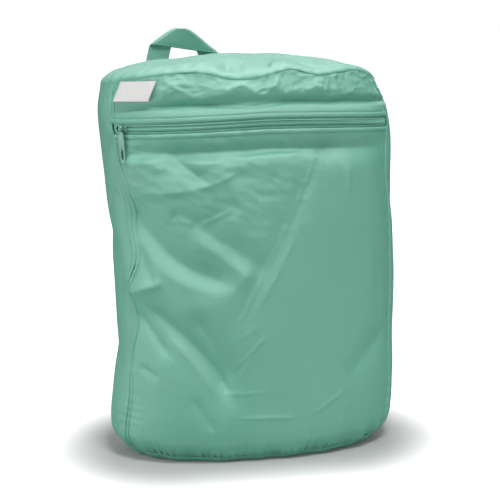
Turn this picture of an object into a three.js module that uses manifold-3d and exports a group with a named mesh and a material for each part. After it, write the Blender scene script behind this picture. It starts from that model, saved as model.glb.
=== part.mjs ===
// A zipped cloth wet bag that stands by itself: an oval base, a front panel that ends in a covered zip,
// a band above the zip, one panel round the sides and back, and a domed top with a strap loop behind it.
// Millimetres, +Z up. The origin is the middle of the base on the floor, and the front faces -Y.
import * as THREE from 'three';
import { mergeVertices } from 'three/addons/utils/BufferGeometryUtils.js';
import Module from 'manifold-3d';

const wasm = await Module();
wasm.setup();

// Sizes of the bag's body
const bagWidth = 320;
const bagDepth = 156;
const shoulderHeight = 400;
const domeRise = 24;
const heelHeight = 4.5;
const cornerLift = 7;
const leftShoulderDrop = 6;
const rightShoulderDrop = 8;
const clothThickness = 1.5;
const seamGap = 0.3;
// Section: 2 would be an ellipse, more is squarer
const squareness = 2.3;
const domeRoundness = 2.2;
// Angle of the two side seams in front of the bag's ends, in degrees
const sideSeamAngle = 25;
// How far the left side seam wanders towards the front, in degrees
const seamSway = 8;
// How far the top seam waves up from the shoulder height
const topSeamWave = 10;
// The flat part of the base, as a share of its radius
const baseFlat = 0.86;

// Sizes of the cloth's folds and hem gathers
const foldDepth = 6;
const foldWidth = 12;
// The share of a fold's length over which each end fades out, and the power that squares its profile
const foldFade = 0.25;
const foldPower = 1.6;
const gatherDepth = 1.2;
const gatherHeight = 14;
const gatherCount = 22;

// Sizes of the zip
const zipBelowShoulder = 42;
const zipTilt = 4;
const zipWindow = 11;
const tapeWidth = 24;
const tapeThickness = 0.8;
const tapeHang = 1;
const chainWidth = 5;
const chainThickness = 2.2;
// The chain's thickness along its edges, as a share of its middle's
const chainEdge = 0.55;
const runningGap = 0.4;
const sliderFromSeam = 12;
const sliderLength = 10;
const sliderHeight = 8.4;
const sliderPlate = 1.2;
const sliderPost = 2;
const bridgeBar = 1.8;
const bridgePost = 1.6;

// Sizes of the pull
const pullLength = 36;
const pullWidth = 7;
const pullThickness = 1.4;
const pullRim = 0.3;
const pullNeck = 4;
const pullSlotLength = 9;
const pullSlotWidth = 2.4;
const pullEyeWall = 0.85;
// Corner radius of the pull and its recess, as a share of half their width
const pullRounding = 0.8;

// Sizes of the strap loop behind the top
const strapWidth = 23.5;
const strapThickness = 2;
const strapSpan = 68;
const strapRise = 37.5;
const strapFoldRadius = 2.2;
const strapLap = 10;
const strapFootX = -90;

// Sizes of the folded label in the top seam
const labelWidth = 31;
const labelHeight = 19.6;
const labelSkew = 4.8;
const labelThickness = 1;
const labelFoldGap = 0.6;
const labelFromSeam = 10;
const labelSwing = 2;

// Grid of the faceted cloth
const frontColumns = 34;
const backColumns = 24;
const frontRows = 24;
const bandRows = 5;
const strapFoldSteps = 6;
const strapColumns = 3;

const degree = Math.PI / 180;
const leftSeam = sideSeamAngle;
const rightSeam = 180 - sideSeamAngle;
const wallRise = shoulderHeight - heelHeight;
const zipUp = 1 - zipBelowShoulder / wallRise;
const windowHalf = zipWindow / 2 / wallRise;

// Half widths and depths of the wall, as shares of half the bag's width and depth, from base to shoulder
const wallSections = [
  { up: 0.00, left: 0.890, right: 0.950, front: 0.88, back: 0.88 },
  { up: 0.05, left: 0.940, right: 1.000, front: 0.96, back: 0.96 },
  { up: 0.16, left: 0.920, right: 1.020, front: 1.00, back: 1.00 },
  { up: 0.30, left: 0.890, right: 1.010, front: 1.02, back: 1.02 },
  { up: 0.45, left: 0.900, right: 1.010, front: 1.04, back: 1.04 },
  { up: 0.60, left: 0.920, right: 0.990, front: 1.04, back: 1.04 },
  { up: 0.75, left: 0.950, right: 0.970, front: 1.02, back: 1.02 },
  { up: 0.86, left: 0.975, right: 0.965, front: 0.98, back: 1.00 },
  { up: 0.94, left: 0.985, right: 0.930, front: 0.93, back: 0.95 },
  { up: 1.00, left: 0.965, right: 0.860, front: 0.86, back: 0.86 },
];

// How the left side seam wanders, as shares of the sway
const seamPath = [
  { up: 0.00, sway: 0.00 },
  { up: 0.16, sway: 0.25 },
  { up: 0.27, sway: 0.00 },
  { up: 0.36, sway: 0.50 },
  { up: 0.46, sway: 0.25 },
  { up: 0.54, sway: 1.00 },
  { up: 0.62, sway: 0.70 },
  { up: 0.70, sway: 0.75 },
  { up: 0.78, sway: 0.25 },
  { up: 0.86, sway: 0.00 },
  { up: 1.00, sway: 0.00 },
];

// How the top seam waves round the bag, as shares of the wave
const topSeam = [
  { around: 0, lift: 0.0 },
  { around: 25, lift: 0.1 },
  { around: 31, lift: 0.5 },
  { around: 42, lift: 0.7 },
  { around: 65, lift: 1.1 },
  { around: 80, lift: 0.2 },
  { around: 90, lift: 0.3 },
  { around: 103, lift: 1.1 },
  { around: 115, lift: 0.6 },
  { around: 130, lift: 1.1 },
  { around: 142, lift: 1.3 },
  { around: 155, lift: 0.8 },
  { around: 180, lift: 0.0 },
  { around: 235, lift: 0.6 },
  { around: 270, lift: 0.4 },
  { around: 305, lift: 0.7 },
  { around: 360, lift: 0.0 },
];

// Folds of the wall. Each runs between two places (degrees round, share up) with a bow as a share of its
// length. Above and below are its widths on the two sides, and rise is its height, below zero for a
// valley, as shares of the fold sizes.
const wallFolds = [
  { from: 20, fromUp: 0.946, to: 176, toUp: 0.958, bow: 0.00, above: 0.45, below: 0.50, rise: -0.85 },
  { from: 30, fromUp: 0.828, to: 152, toUp: 0.832, bow: 0.00, above: 0.60, below: 1.00, rise: -0.60 },
  { from: 26, fromUp: 0.735, to: 82, toUp: 0.480, bow: -0.14, above: 2.40, below: 1.70, rise: -1.40 },
  { from: 60, fromUp: 0.650, to: 94, toUp: 0.490, bow: 0.02, above: 1.30, below: 1.10, rise: -0.80 },
  { from: 53, fromUp: 0.835, to: 69, toUp: 0.745, bow: 0.00, above: 1.00, below: 0.90, rise: -0.60 },
  { from: 27, fromUp: 0.735, to: 84, toUp: 0.790, bow: -0.08, above: 1.20, below: 0.80, rise: 0.50 },
  { from: 52, fromUp: 0.675, to: 66, toUp: 0.632, bow: 0.00, above: 0.70, below: 0.70, rise: -0.45 },
  { from: 62, fromUp: 0.632, to: 82, toUp: 0.695, bow: 0.00, above: 0.70, below: 0.70, rise: -0.45 },
  { from: 22, fromUp: 0.460, to: 50, toUp: 0.492, bow: 0.00, above: 1.30, below: 0.80, rise: 0.70 },
  { from: 27, fromUp: 0.450, to: 80, toUp: 0.120, bow: 0.08, above: 1.20, below: 1.50, rise: -1.10 },
  { from: 27, fromUp: 0.430, to: 52, toUp: 0.270, bow: 0.00, above: 0.70, below: 0.90, rise: -0.50 },
  { from: 58, fromUp: 0.430, to: 80, toUp: 0.190, bow: 0.03, above: 0.90, below: 1.10, rise: -0.60 },
  { from: 114, fromUp: 0.850, to: 74, toUp: 0.310, bow: 0.00, above: 0.80, below: 0.80, rise: -0.35 },
  { from: -4, fromUp: 0.800, to: 27, toUp: 0.865, bow: 0.05, above: 0.90, below: 0.90, rise: -0.45 },
  { from: -30, fromUp: 0.640, to: 22, toUp: 0.520, bow: 0.06, above: 1.40, below: 1.20, rise: -0.45 },
  { from: -26, fromUp: 0.300, to: 24, toUp: 0.210, bow: 0.05, above: 1.30, below: 1.30, rise: -0.35 },
  { from: 142, fromUp: 0.830, to: 176, toUp: 0.600, bow: 0.03, above: 0.90, below: 1.00, rise: -0.25 },
  { from: 122, fromUp: 0.190, to: 150, toUp: 0.330, bow: 0.04, above: 1.10, below: 1.00, rise: -0.40 },
  { from: 210, fromUp: 0.780, to: 268, toUp: 0.560, bow: -0.08, above: 1.60, below: 1.40, rise: -0.90 },
  { from: 320, fromUp: 0.720, to: 276, toUp: 0.430, bow: 0.06, above: 1.50, below: 1.50, rise: -0.80 },
  { from: 222, fromUp: 0.420, to: 292, toUp: 0.180, bow: 0.08, above: 1.60, below: 1.40, rise: -0.80 },
];

// Dents of the domed top: place (degrees round, share of the radius), size and rise as shares of the folds'
const topDents = [
  { around: 76, out: 0.80, size: 1.1, rise: -0.70 },
  { around: 93, out: 0.62, size: 1.3, rise: -0.50 },
  { around: 122, out: 0.72, size: 1.5, rise: -0.50 },
  { around: 152, out: 0.80, size: 1.0, rise: -0.60 },
  { around: 24, out: 0.62, size: 1.6, rise: -0.40 },
  { around: 250, out: 0.70, size: 1.8, rise: -0.50 },
  { around: 318, out: 0.60, size: 1.6, rise: -0.40 },
];

// The two diagonal folds of the strap loop, as shares of its span and rise from its left foot
const strapFolds = [
  { along: 0.13, rise: 1.00 },
  { along: 0.81, rise: 0.82 },
];

// A value of one column of a table, on a smooth curve through its rows and straight on past its ends
function readTable(rows, key, column, at) {
  const last = rows.length - 1;
  const slope = (i) => {
    const before = rows[Math.max(i - 1, 0)];
    const after = rows[Math.min(i + 1, last)];
    return (after[column] - before[column]) / (after[key] - before[key]);
  };
  if (at <= rows[0][key]) return rows[0][column] + slope(0) * (at - rows[0][key]);
  if (at >= rows[last][key]) return rows[last][column] + slope(last) * (at - rows[last][key]);
  const i = rows.findIndex((row) => row[key] > at) - 1;
  const span = rows[i + 1][key] - rows[i][key];
  const q = (at - rows[i][key]) / span;
  const start = 2 * q ** 3 - 3 * q ** 2 + 1;
  const end = 1 - start;
  const lead = (q ** 3 - 2 * q ** 2 + q) * span;
  const tail = (q ** 3 - q ** 2) * span;
  return start * rows[i][column] + lead * slope(i) + end * rows[i + 1][column] + tail * slope(i + 1);
}

const mix = (a, b, share) => a + (b - a) * share;
const wrapAround = (around) => around - 360 * Math.floor(around / 360);

function easeInOut(value) {
  const q = Math.min(Math.max(value, 0), 1);
  return q * q * (3 - 2 * q);
}

// Place on the rounded oblong section: 0 degrees is the left end, 90 the front, 270 the back
function section(around) {
  const across = -Math.cos(around * degree);
  const deep = -Math.sin(around * degree);
  const reach = (Math.abs(across) ** squareness + Math.abs(deep) ** squareness) ** (1 / squareness);
  return { across: across / reach, deep: deep / reach };
}

// The wall before its folds: its section grows and shrinks on the way up
function smoothWall(around, up) {
  const { across, deep } = section(around);
  const halfWidth = bagWidth / 2 * readTable(wallSections, 'up', across < 0 ? 'left' : 'right', up);
  const halfDepth = bagDepth / 2 * readTable(wallSections, 'up', deep < 0 ? 'front' : 'back', up);
  const foot = heelHeight + cornerLift * Math.abs(across) ** 3;
  const drop = across < 0 ? -leftShoulderDrop * across : rightShoulderDrop * across ** 2;
  const height = foot + up * (shoulderHeight - drop - foot);
  return new THREE.Vector3(halfWidth * across, halfDepth * deep, height);
}

function wallNormal(around, up) {
  const turn = 0.5;
  const step = 0.002;
  const sideways = smoothWall(around + turn, up).sub(smoothWall(around - turn, up));
  const upwards = smoothWall(around, up + step).sub(smoothWall(around, up - step));
  return sideways.cross(upwards).normalize();
}

// Length of cloth round the bag at mid height, from the left end, worked out degree by degree
const girthTable = [0];
for (let turn = 1; turn <= 360; turn += 1) {
  const chord = smoothWall(turn, 0.5).distanceTo(smoothWall(turn - 1, 0.5));
  girthTable.push(girthTable[turn - 1] + chord);
}

function girth(around) {
  const turns = Math.floor(around / 360);
  const rest = around - 360 * turns;
  const whole = Math.min(Math.floor(rest), 359);
  return turns * girthTable[360] + mix(girthTable[whole], girthTable[whole + 1], rest - whole);
}

// Height of one fold at a place on the flattened wall: a rounded ridge or valley along a bowed line
function oneFold(fold, around, up) {
  const nearest = around + 360 * Math.round(((fold.from + fold.to) / 2 - around) / 360);
  const run = girth(fold.to) - girth(fold.from);
  const climb = (fold.toUp - fold.fromUp) * wallRise;
  const length = Math.hypot(run, climb);
  const right = girth(nearest) - girth(fold.from);
  const higher = (up - fold.fromUp) * wallRise;
  const along = (right * run + higher * climb) / length ** 2;
  if (along <= 0 || along >= 1) return 0;
  const bowed = fold.bow * length * 4 * along * (1 - along);
  const aside = (higher * run - right * climb) / length - bowed;
  const width = foldWidth * (aside > 0 ? fold.above : fold.below);
  const taper = easeInOut(along / foldFade) * easeInOut((1 - along) / foldFade);
  return foldDepth * fold.rise * taper * Math.exp(-((Math.abs(aside) / width) ** foldPower));
}

function foldHeight(around, up) {
  const folds = wallFolds.reduce((sum, fold) => sum + oneFold(fold, around, up), 0);
  const fade = Math.exp(-up * wallRise / gatherHeight);
  const uneven = Math.sin(3 * around * degree) + Math.cos(7 * around * degree);
  return folds + gatherDepth * fade * Math.sin(gatherCount * around * degree + uneven);
}

// A point of the wall, a distance inward from its folded face
function wallPoint(around, up, inward) {
  const out = foldHeight(around, up) - inward;
  return smoothWall(around, up).addScaledVector(wallNormal(around, up), out);
}

function leftSeamAt(up) {
  return leftSeam + seamSway * readTable(seamPath, 'up', 'sway', up);
}

// The zip climbs a little from the left seam to the right one, and sinks back behind the bag
function zipLevel(around) {
  const turn = wrapAround(around - leftSeam);
  const across = rightSeam - leftSeam;
  const share = turn < across ? turn / across : (360 - turn) / (360 - across);
  return zipUp + zipTilt * (share - 0.5) / wallRise;
}

function topEdge(around) {
  return 1 + topSeamWave * readTable(topSeam, 'around', 'lift', wrapAround(around)) / wallRise;
}

// Turns a length along the wall into degrees at one place
function lengthToTurn(length, around, up) {
  return length / smoothWall(around + 0.5, up).distanceTo(smoothWall(around - 0.5, up));
}

// A closed solid from a list of corners and triangles, turned so that its faces point out
function closedSolid(corners, triangles) {
  let volume = 0;
  for (let i = 0; i < triangles.length; i += 3) {
    const [a, b, c] = [corners[triangles[i]], corners[triangles[i + 1]], corners[triangles[i + 2]]];
    volume += a.dot(b.clone().cross(c));
  }
  const index = volume > 0 ? triangles : [...triangles].reverse();
  const geometry = new THREE.BufferGeometry().setFromPoints(corners);
  geometry.setIndex(index);
  geometry.computeVertexNormals();
  return geometry;
}

// A sheet with two faces and four rims: point(u, v, side) gives a corner, side 0 outside and 1 inside
function closedSheet(columns, rows, point) {
  const corners = [];
  for (const side of [0, 1]) {
    for (let j = 0; j <= rows; j += 1) {
      for (let i = 0; i <= columns; i += 1) corners.push(point(i / columns, j / rows, side));
    }
  }
  const at = (i, j, side) => side * (rows + 1) * (columns + 1) + j * (columns + 1) + i;
  const triangles = [];
  const quad = (a, b, c, d) => triangles.push(a, b, c, a, c, d);
  for (let j = 0; j < rows; j += 1) {
    for (let i = 0; i < columns; i += 1) {
      quad(at(i, j, 0), at(i + 1, j, 0), at(i + 1, j + 1, 0), at(i, j + 1, 0));
      quad(at(i, j, 1), at(i, j + 1, 1), at(i + 1, j + 1, 1), at(i + 1, j, 1));
    }
    quad(at(0, j, 0), at(0, j + 1, 0), at(0, j + 1, 1), at(0, j, 1));
    quad(at(columns, j, 0), at(columns, j, 1), at(columns, j + 1, 1), at(columns, j + 1, 0));
  }
  for (let i = 0; i < columns; i += 1) {
    quad(at(i, 0, 0), at(i, 0, 1), at(i + 1, 0, 1), at(i + 1, 0, 0));
    quad(at(i, rows, 0), at(i + 1, rows, 0), at(i + 1, rows, 1), at(i, rows, 1));
  }
  return closedSolid(corners, triangles);
}

// A round sheet with two faces and one rim: point(around, share, side) gives a corner
function closedDisc(stations, shares, point) {
  const corners = [point(0, 0, 0), point(0, 0, 1)];
  const count = stations.length;
  for (const side of [0, 1]) {
    for (const share of shares) {
      for (const around of stations) corners.push(point(around, share, side));
    }
  }
  const at = (i, j, side) => 2 + (side * shares.length + j) * count + i % count;
  const triangles = [];
  const quad = (a, b, c, d) => triangles.push(a, b, c, a, c, d);
  for (let i = 0; i < count; i += 1) {
    triangles.push(0, at(i, 0, 0), at(i + 1, 0, 0));
    triangles.push(1, at(i + 1, 0, 1), at(i, 0, 1));
    for (let j = 0; j + 1 < shares.length; j += 1) {
      quad(at(i, j, 0), at(i, j + 1, 0), at(i + 1, j + 1, 0), at(i + 1, j, 0));
      quad(at(i, j, 1), at(i + 1, j, 1), at(i + 1, j + 1, 1), at(i, j + 1, 1));
    }
    const rim = shares.length - 1;
    quad(at(i, rim, 0), at(i, rim, 1), at(i + 1, rim, 1), at(i + 1, rim, 0));
  }
  return closedSolid(corners, triangles);
}

// Joins and cuts of small hard pieces
function toManifold(geometry) {
  const bare = geometry.clone();
  bare.deleteAttribute('normal');
  bare.deleteAttribute('uv');
  const merged = mergeVertices(bare, 1e-4);
  return new wasm.Manifold(new wasm.Mesh({
    numProp: 3,
    vertProperties: Float32Array.from(merged.attributes.position.array),
    triVerts: Uint32Array.from(merged.index.array),
  }));
}

function fromManifold(solid) {
  const mesh = solid.getMesh();
  const geometry = new THREE.BufferGeometry();
  geometry.setAttribute('position', new THREE.BufferAttribute(mesh.vertProperties, 3));
  geometry.setIndex(new THREE.BufferAttribute(mesh.triVerts, 1));
  geometry.computeVertexNormals();
  return geometry;
}

// A board with round ends, centred across, from one height to another, and from one depth to another
function roundedBoard(width, bottom, top, radius, back, front) {
  const half = width / 2;
  const shape = new THREE.Shape();
  shape.moveTo(-half + radius, bottom);
  shape.lineTo(half - radius, bottom);
  shape.absarc(half - radius, bottom + radius, radius, -Math.PI / 2, 0);
  shape.absarc(half - radius, top - radius, radius, 0, Math.PI / 2);
  shape.absarc(-half + radius, top - radius, radius, Math.PI / 2, Math.PI);
  shape.absarc(-half + radius, bottom + radius, radius, Math.PI, Math.PI * 1.5);
  const depth = front - back;
  const board = new THREE.ExtrudeGeometry(shape, { depth, bevelEnabled: false, curveSegments: 4 });
  return board.translate(0, 0, back);
}

// A rod along X
function crossRod(radius, length, sides) {
  return new THREE.CylinderGeometry(radius, radius, length, sides).rotateZ(Math.PI / 2);
}

const clothFinish = { roughness: 0.55, metalness: 0 };
const greenCloth = new THREE.MeshStandardMaterial({ color: '#6aa68f', ...clothFinish });
const paleCloth = new THREE.MeshStandardMaterial({ color: '#a4cdc0', ...clothFinish });
const zipGreen = new THREE.MeshStandardMaterial({ color: '#5c9c84', roughness: 0.45, metalness: 0 });
const pullGreen = new THREE.MeshStandardMaterial({ color: '#579781', roughness: 0.35, metalness: 0 });
const whiteSatin = new THREE.MeshStandardMaterial({ color: '#f1f1f1', roughness: 0.4, metalness: 0 });

function piece(name, geometry, material) {
  const mesh = new THREE.Mesh(geometry, material);
  mesh.name = name;
  return mesh;
}

// The angles of the columns, shared by every panel, so that their edges run side by side
const frontStation = (share, up) => mix(leftSeamAt(up), rightSeam, share);
const backStation = (share, up) => mix(rightSeam, 360 + leftSeamAt(up), share);
const rimStations = [
  ...Array.from({ length: frontColumns }, (_, i) => frontStation(i / frontColumns, 1)),
  ...Array.from({ length: backColumns }, (_, i) => wrapAround(backStation(i / backColumns, 1))),
];

// Moves a panel's first and last column off the side seams by half the gap
function trimmed(around, share, up) {
  const trim = lengthToTurn(seamGap / 2, around, up);
  if (share === 0) return around + trim;
  return share === 1 ? around - trim : around;
}

// The heights of the rows, shared by the panels too: a height may follow the waving top seam
const panelBottom = (clothThickness + seamGap) / wallRise;
const panelTop = (around) => topEdge(around) - seamGap / wallRise;
const frontLevels = Array.from({ length: frontRows + 1 }, (_, j) => (
  (around) => mix(panelBottom, zipLevel(around) - windowHalf, j / frontRows)
));
const bandLevels = Array.from({ length: bandRows + 1 }, (_, j) => (
  (around) => mix(zipLevel(around) + windowHalf, panelTop(around), j / bandRows)
));

function wallPanel(columns, station, levels) {
  const rows = levels.length - 1;
  return closedSheet(columns, rows, (u, v, side) => {
    const level = levels[Math.round(v * rows)];
    const around = station(u, level(leftSeam));
    const up = level(around);
    return wallPoint(trimmed(around, u, up), up, side * clothThickness);
  });
}

function seamPoint(around) {
  return smoothWall(around, topEdge(around));
}

// The domed top: steep at its seam and nearly flat in the middle, with a few soft dents
const crown = shoulderHeight + domeRise;
function topPoint(around, share, side) {
  const seam = seamPoint(around);
  const reach = Math.hypot(seam.x, seam.y);
  const inset = 1 - side * clothThickness / reach;
  const profile = Math.sqrt(Math.max(1 - share ** domeRoundness, 0));
  const point = new THREE.Vector3(seam.x * share * inset, seam.y * share * inset, 0);
  const dents = topDents.reduce((sum, dent) => {
    const place = seamPoint(dent.around).multiplyScalar(dent.out).setZ(0);
    const away = place.distanceTo(new THREE.Vector3(seam.x * share, seam.y * share, 0));
    return sum + foldDepth * dent.rise * Math.exp(-((away / (foldWidth * dent.size)) ** 2));
  }, 0);
  const rise = crown - side * clothThickness - seam.z;
  point.z = seam.z + rise * profile + dents * Math.min(profile * 2, 1);
  return point;
}

function topPanel() {
  return closedDisc(rimStations, [0.3, 0.6, 0.8, 0.93, 1], topPoint);
}

// The base: flat on the floor in the middle, lifting to the seam with the wall
function basePoint(around, share, side) {
  const seam = smoothWall(around, 0);
  const out = foldHeight(around, 0);
  seam.addScaledVector(wallNormal(around, 0).setZ(0).normalize(), out);
  const lift = Math.max((share - baseFlat) / (1 - baseFlat), 0) ** 1.5;
  return new THREE.Vector3(seam.x * share, seam.y * share, seam.z * lift + side * clothThickness);
}

function basePanel() {
  return closedDisc(rimStations, [baseFlat, (1 + baseFlat) / 2, 1], basePoint);
}

// The zip lies behind the folded edges of the cloth, in the seam gap's distance from them
const tapeDepth = clothThickness + seamGap;
const chainDepth = tapeDepth + tapeThickness / 2;
const chainHalf = (chainWidth / 2 + seamGap) / wallRise;

function zipTape(direction) {
  return closedSheet(frontColumns, 1, (u, v, side) => {
    const aside = direction * mix(chainHalf, tapeWidth / 2 / wallRise, v);
    const around = frontStation(u, zipUp + aside);
    const up = zipLevel(around) + aside;
    return wallPoint(trimmed(around, u, up), up, tapeDepth + v * tapeHang + side * tapeThickness);
  });
}

const sliderTurn = leftSeam + lengthToTurn(sliderFromSeam, leftSeam, zipUp);
const chainStart = sliderTurn - lengthToTurn(sliderLength / 2 - sliderPost - runningGap, sliderTurn, zipUp);
const chainEnd = rightSeam - lengthToTurn(seamGap / 2, rightSeam, zipUp);

function zipChain() {
  const half = chainWidth / 2 / wallRise;
  return closedSheet(frontColumns, 2, (u, v, side) => {
    const around = mix(chainStart, chainEnd, u);
    const bulge = chainThickness / 2 * (v === 0.5 ? 1 : chainEdge);
    return wallPoint(around, zipLevel(around) + (2 * v - 1) * half, chainDepth + (side ? bulge : -bulge));
  });
}

// The slider's place: X along the zip to the right, Y up the wall, Z out of it
function zipFrame(around) {
  const out = wallNormal(around, zipLevel(around));
  const ahead = smoothWall(around + 0.5, zipLevel(around + 0.5));
  const behind = smoothWall(around - 0.5, zipLevel(around - 0.5));
  const upwards = out.clone().cross(ahead.sub(behind)).normalize();
  const along = upwards.clone().cross(out);
  const place = new THREE.Group();
  place.position.copy(wallPoint(around, zipLevel(around), 0));
  place.quaternion.setFromRotationMatrix(new THREE.Matrix4().makeBasis(along, upwards, out));
  return place;
}

const plateBack = chainThickness / 2 - chainDepth + runningGap;
const plateFront = plateBack + sliderPlate;
const barRadius = bridgeBar / 2;
const eyeRadius = barRadius + runningGap + pullEyeWall;
const barHeight = plateFront + runningGap + eyeRadius;
const eyeLength = pullNeck;
const bridgeLength = eyeLength + 2 * runningGap + 2 * bridgePost;

// Two plates round the chain, the post that parts it, and a bridge along the zip for the pull
function slider() {
  const corner = sliderHeight / 4;
  const half = sliderHeight / 2;
  const backFace = -chainDepth - chainThickness / 2 - runningGap;
  const plates = roundedBoard(sliderLength, -half, half, corner, plateBack, plateFront);
  const backPlate = roundedBoard(sliderLength, -half, half, corner, backFace - sliderPlate, backFace);
  const postDepth = plateBack - backFace + sliderPlate;
  const post = new THREE.BoxGeometry(sliderPost, chainWidth / 2, postDepth);
  post.translate((sliderPost - sliderLength) / 2, 0, (plateBack + backFace) / 2);
  let body = toManifold(plates).add(toManifold(backPlate)).add(toManifold(post));
  const legHeight = barHeight + barRadius - plateBack;
  for (const end of [-1, 1]) {
    const leg = new THREE.BoxGeometry(bridgePost, bridgeBar, legHeight);
    leg.translate(end * (bridgeLength - bridgePost) / 2, 0, plateBack + legHeight / 2);
    body = body.add(toManifold(leg));
  }
  const bar = crossRod(barRadius, bridgeLength - bridgePost, 10).translate(0, 0, barHeight);
  return fromManifold(body.add(toManifold(bar)));
}

// The pull hangs from its eye along -Y of its own place: a slotted plate with a raised rim
function pullTab() {
  const half = pullThickness / 2;
  const bottom = eyeRadius - pullLength;
  const shoulder = -eyeRadius - runningGap;
  const corner = pullWidth / 2 * pullRounding;
  const plate = toManifold(roundedBoard(pullWidth, bottom, shoulder, corner, -half, half + pullRim));
  const inner = pullWidth / 2 - pullRim * 3;
  const innerCorner = inner * pullRounding;
  const recessTop = shoulder - pullRim * 4;
  const recessBottom = bottom + pullRim * 4;
  const recess = roundedBoard(2 * inner, recessBottom, recessTop, innerCorner, half, half + 2 * pullRim);
  const slotBottom = bottom + pullWidth / 2;
  const slotTop = slotBottom + pullSlotLength;
  const slotCorner = pullSlotWidth / 2 * pullRounding;
  const slot = roundedBoard(pullSlotWidth, slotBottom, slotTop, slotCorner, -pullThickness, pullThickness);
  const neck = new THREE.BoxGeometry(pullNeck, eyeRadius + 2 * runningGap, pullThickness);
  neck.translate(0, -(eyeRadius + 2 * runningGap) / 2, 0);
  const hole = toManifold(crossRod(barRadius + runningGap, 2 * eyeLength, 12));
  const eye = toManifold(crossRod(eyeRadius, eyeLength, 12)).add(toManifold(neck)).subtract(hole);
  return fromManifold(plate.subtract(toManifold(recess)).subtract(toManifold(slot)).add(eye));
}

// At rest the pull leans on the cloth below it: its tip lies a gap's distance out from the wall
function pullLean(frame) {
  const reach = pullLength - eyeRadius;
  const tipUp = zipLevel(sliderTurn) - reach / wallRise;
  const tip = wallPoint(sliderTurn, tipUp, -2 * seamGap - pullThickness / 2);
  frame.updateMatrixWorld(true);
  const local = frame.worldToLocal(tip);
  return Math.atan2(local.z - barHeight, -local.y);
}

// The angle where the strap's foot meets the back of the top seam
function footTurn(x) {
  let turn = 360 - sideSeamAngle;
  while (seamPoint(turn).x < x) turn -= 0.25;
  return turn;
}

// A corner where one flat run of strap folds over a slanting roller into the next. Its axis halves the
// angle between the runs, aside points across the roller, and skew is the slant of rows along it.
function strapFold(before, corner, after, hand) {
  const arriving = corner.clone().sub(before).normalize();
  const leaving = after.clone().sub(corner).normalize();
  const across = new THREE.Vector2(arriving.y, -arriving.x).multiplyScalar(hand);
  const axis = arriving.clone().add(leaving).normalize();
  const aside = arriving.clone().sub(leaving).normalize();
  return {
    corner, arriving, across, axis, aside, skew: axis.dot(arriving) / axis.dot(across),
    stretch: Math.PI / 2 * strapFoldRadius / aside.dot(arriving), length: corner.distanceTo(before),
  };
}

// The place and normal of a point of the strap near a fold: flat, rolled over by up to half a turn,
// then flat again on the other side. The plane is X and Z, and rolled is its distance from the first run.
function foldedPoint(fold, along, aside) {
  const flat = fold.arriving.clone().multiplyScalar(along).addScaledVector(fold.across, aside);
  const reach = flat.dot(fold.aside);
  const quarter = Math.PI / 2 * strapFoldRadius;
  const angle = Math.min(Math.max((reach + quarter) / strapFoldRadius, 0), Math.PI);
  const before = Math.min(reach, -quarter);
  const beyond = Math.max(reach - quarter, 0);
  const place = fold.corner.clone().addScaledVector(fold.axis, flat.dot(fold.axis));
  return {
    place: place.addScaledVector(fold.aside, before + strapFoldRadius * Math.sin(angle) - beyond),
    rolled: strapFoldRadius * (1 - Math.cos(angle)),
    lean: fold.aside.clone().multiplyScalar(Math.sin(angle)),
    facing: Math.cos(angle),
  };
}

// The strap goes up from its left foot, folds over to the front and right, runs along the top of the
// loop, folds behind itself and goes down to its right foot. Both feet lap over the back panel's edge.
function handleStrap() {
  const clear = -(2 * seamGap + strapThickness / 2);
  const turns = [footTurn(strapFootX), footTurn(strapFootX + strapSpan)];
  const feet = turns.map((turn) => wallPoint(turn, topEdge(turn), clear));
  const corners = strapFolds.map((fold) => new THREE.Vector2(
    feet[0].x + strapSpan * fold.along, feet[0].z + strapRise * fold.rise,
  ));
  const ends = feet.map((foot) => new THREE.Vector2(foot.x, foot.z));
  const first = strapFold(ends[0], corners[0], corners[1], 1);
  const second = strapFold(corners[0], corners[1], ends[1], -1);
  const lapRow = (end, share) => (aside) => {
    const turn = turns[end] - (end ? -1 : 1) * lengthToTurn(aside, turns[end], 1);
    const up = topEdge(turns[end]) - strapLap * share / wallRise;
    return { spot: wallPoint(turn, up, clear), normal: wallNormal(turn, up) };
  };
  const firstRow = (start, slant) => (aside) => {
    const { place, rolled, lean, facing } = foldedPoint(first, start + slant * aside, aside);
    const share = Math.max(start + slant * aside, 0) / second.length;
    const back = mix(feet[0].y, feet[1].y, Math.min(share, 1));
    return {
      spot: new THREE.Vector3(place.x, back - rolled, place.y),
      normal: new THREE.Vector3(lean.x, facing, lean.y),
    };
  };
  const secondRow = (start, slant) => (aside) => {
    const { place, rolled, lean, facing } = foldedPoint(second, start + slant * aside, aside);
    const share = 1 + Math.min(start + slant * aside, 0) / second.length;
    const back = mix(feet[0].y, feet[1].y, Math.max(share, 0)) - 2 * strapFoldRadius;
    return {
      spot: new THREE.Vector3(place.x, back + rolled, place.y),
      normal: new THREE.Vector3(lean.x, -facing, lean.y),
    };
  };
  const steps = Array.from({ length: strapFoldSteps + 1 }, (_, i) => 2 * i / strapFoldSteps - 1);
  const lastLeg = corners[1].distanceTo(ends[1]);
  const rows = [
    lapRow(0, 1), lapRow(0, 0.5), lapRow(0, 0),
    firstRow(-(first.length + first.stretch) / 2, first.skew / 2),
    ...steps.map((step) => firstRow(step * first.stretch, first.skew)),
    firstRow((first.stretch + second.length - second.stretch) / 2, (first.skew + second.skew) / 2),
    ...steps.map((step) => secondRow(step * second.stretch, second.skew)),
    secondRow((second.stretch + lastLeg) / 2, second.skew / 2),
    lapRow(1, 0), lapRow(1, 0.5), lapRow(1, 1),
  ];
  return closedSheet(strapColumns, rows.length - 1, (u, v, side) => {
    const { spot, normal } = rows[Math.round(v * (rows.length - 1))]((u - 0.5) * strapWidth);
    return spot.clone().addScaledVector(normal, (0.5 - side) * strapThickness);
  });
}

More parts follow.
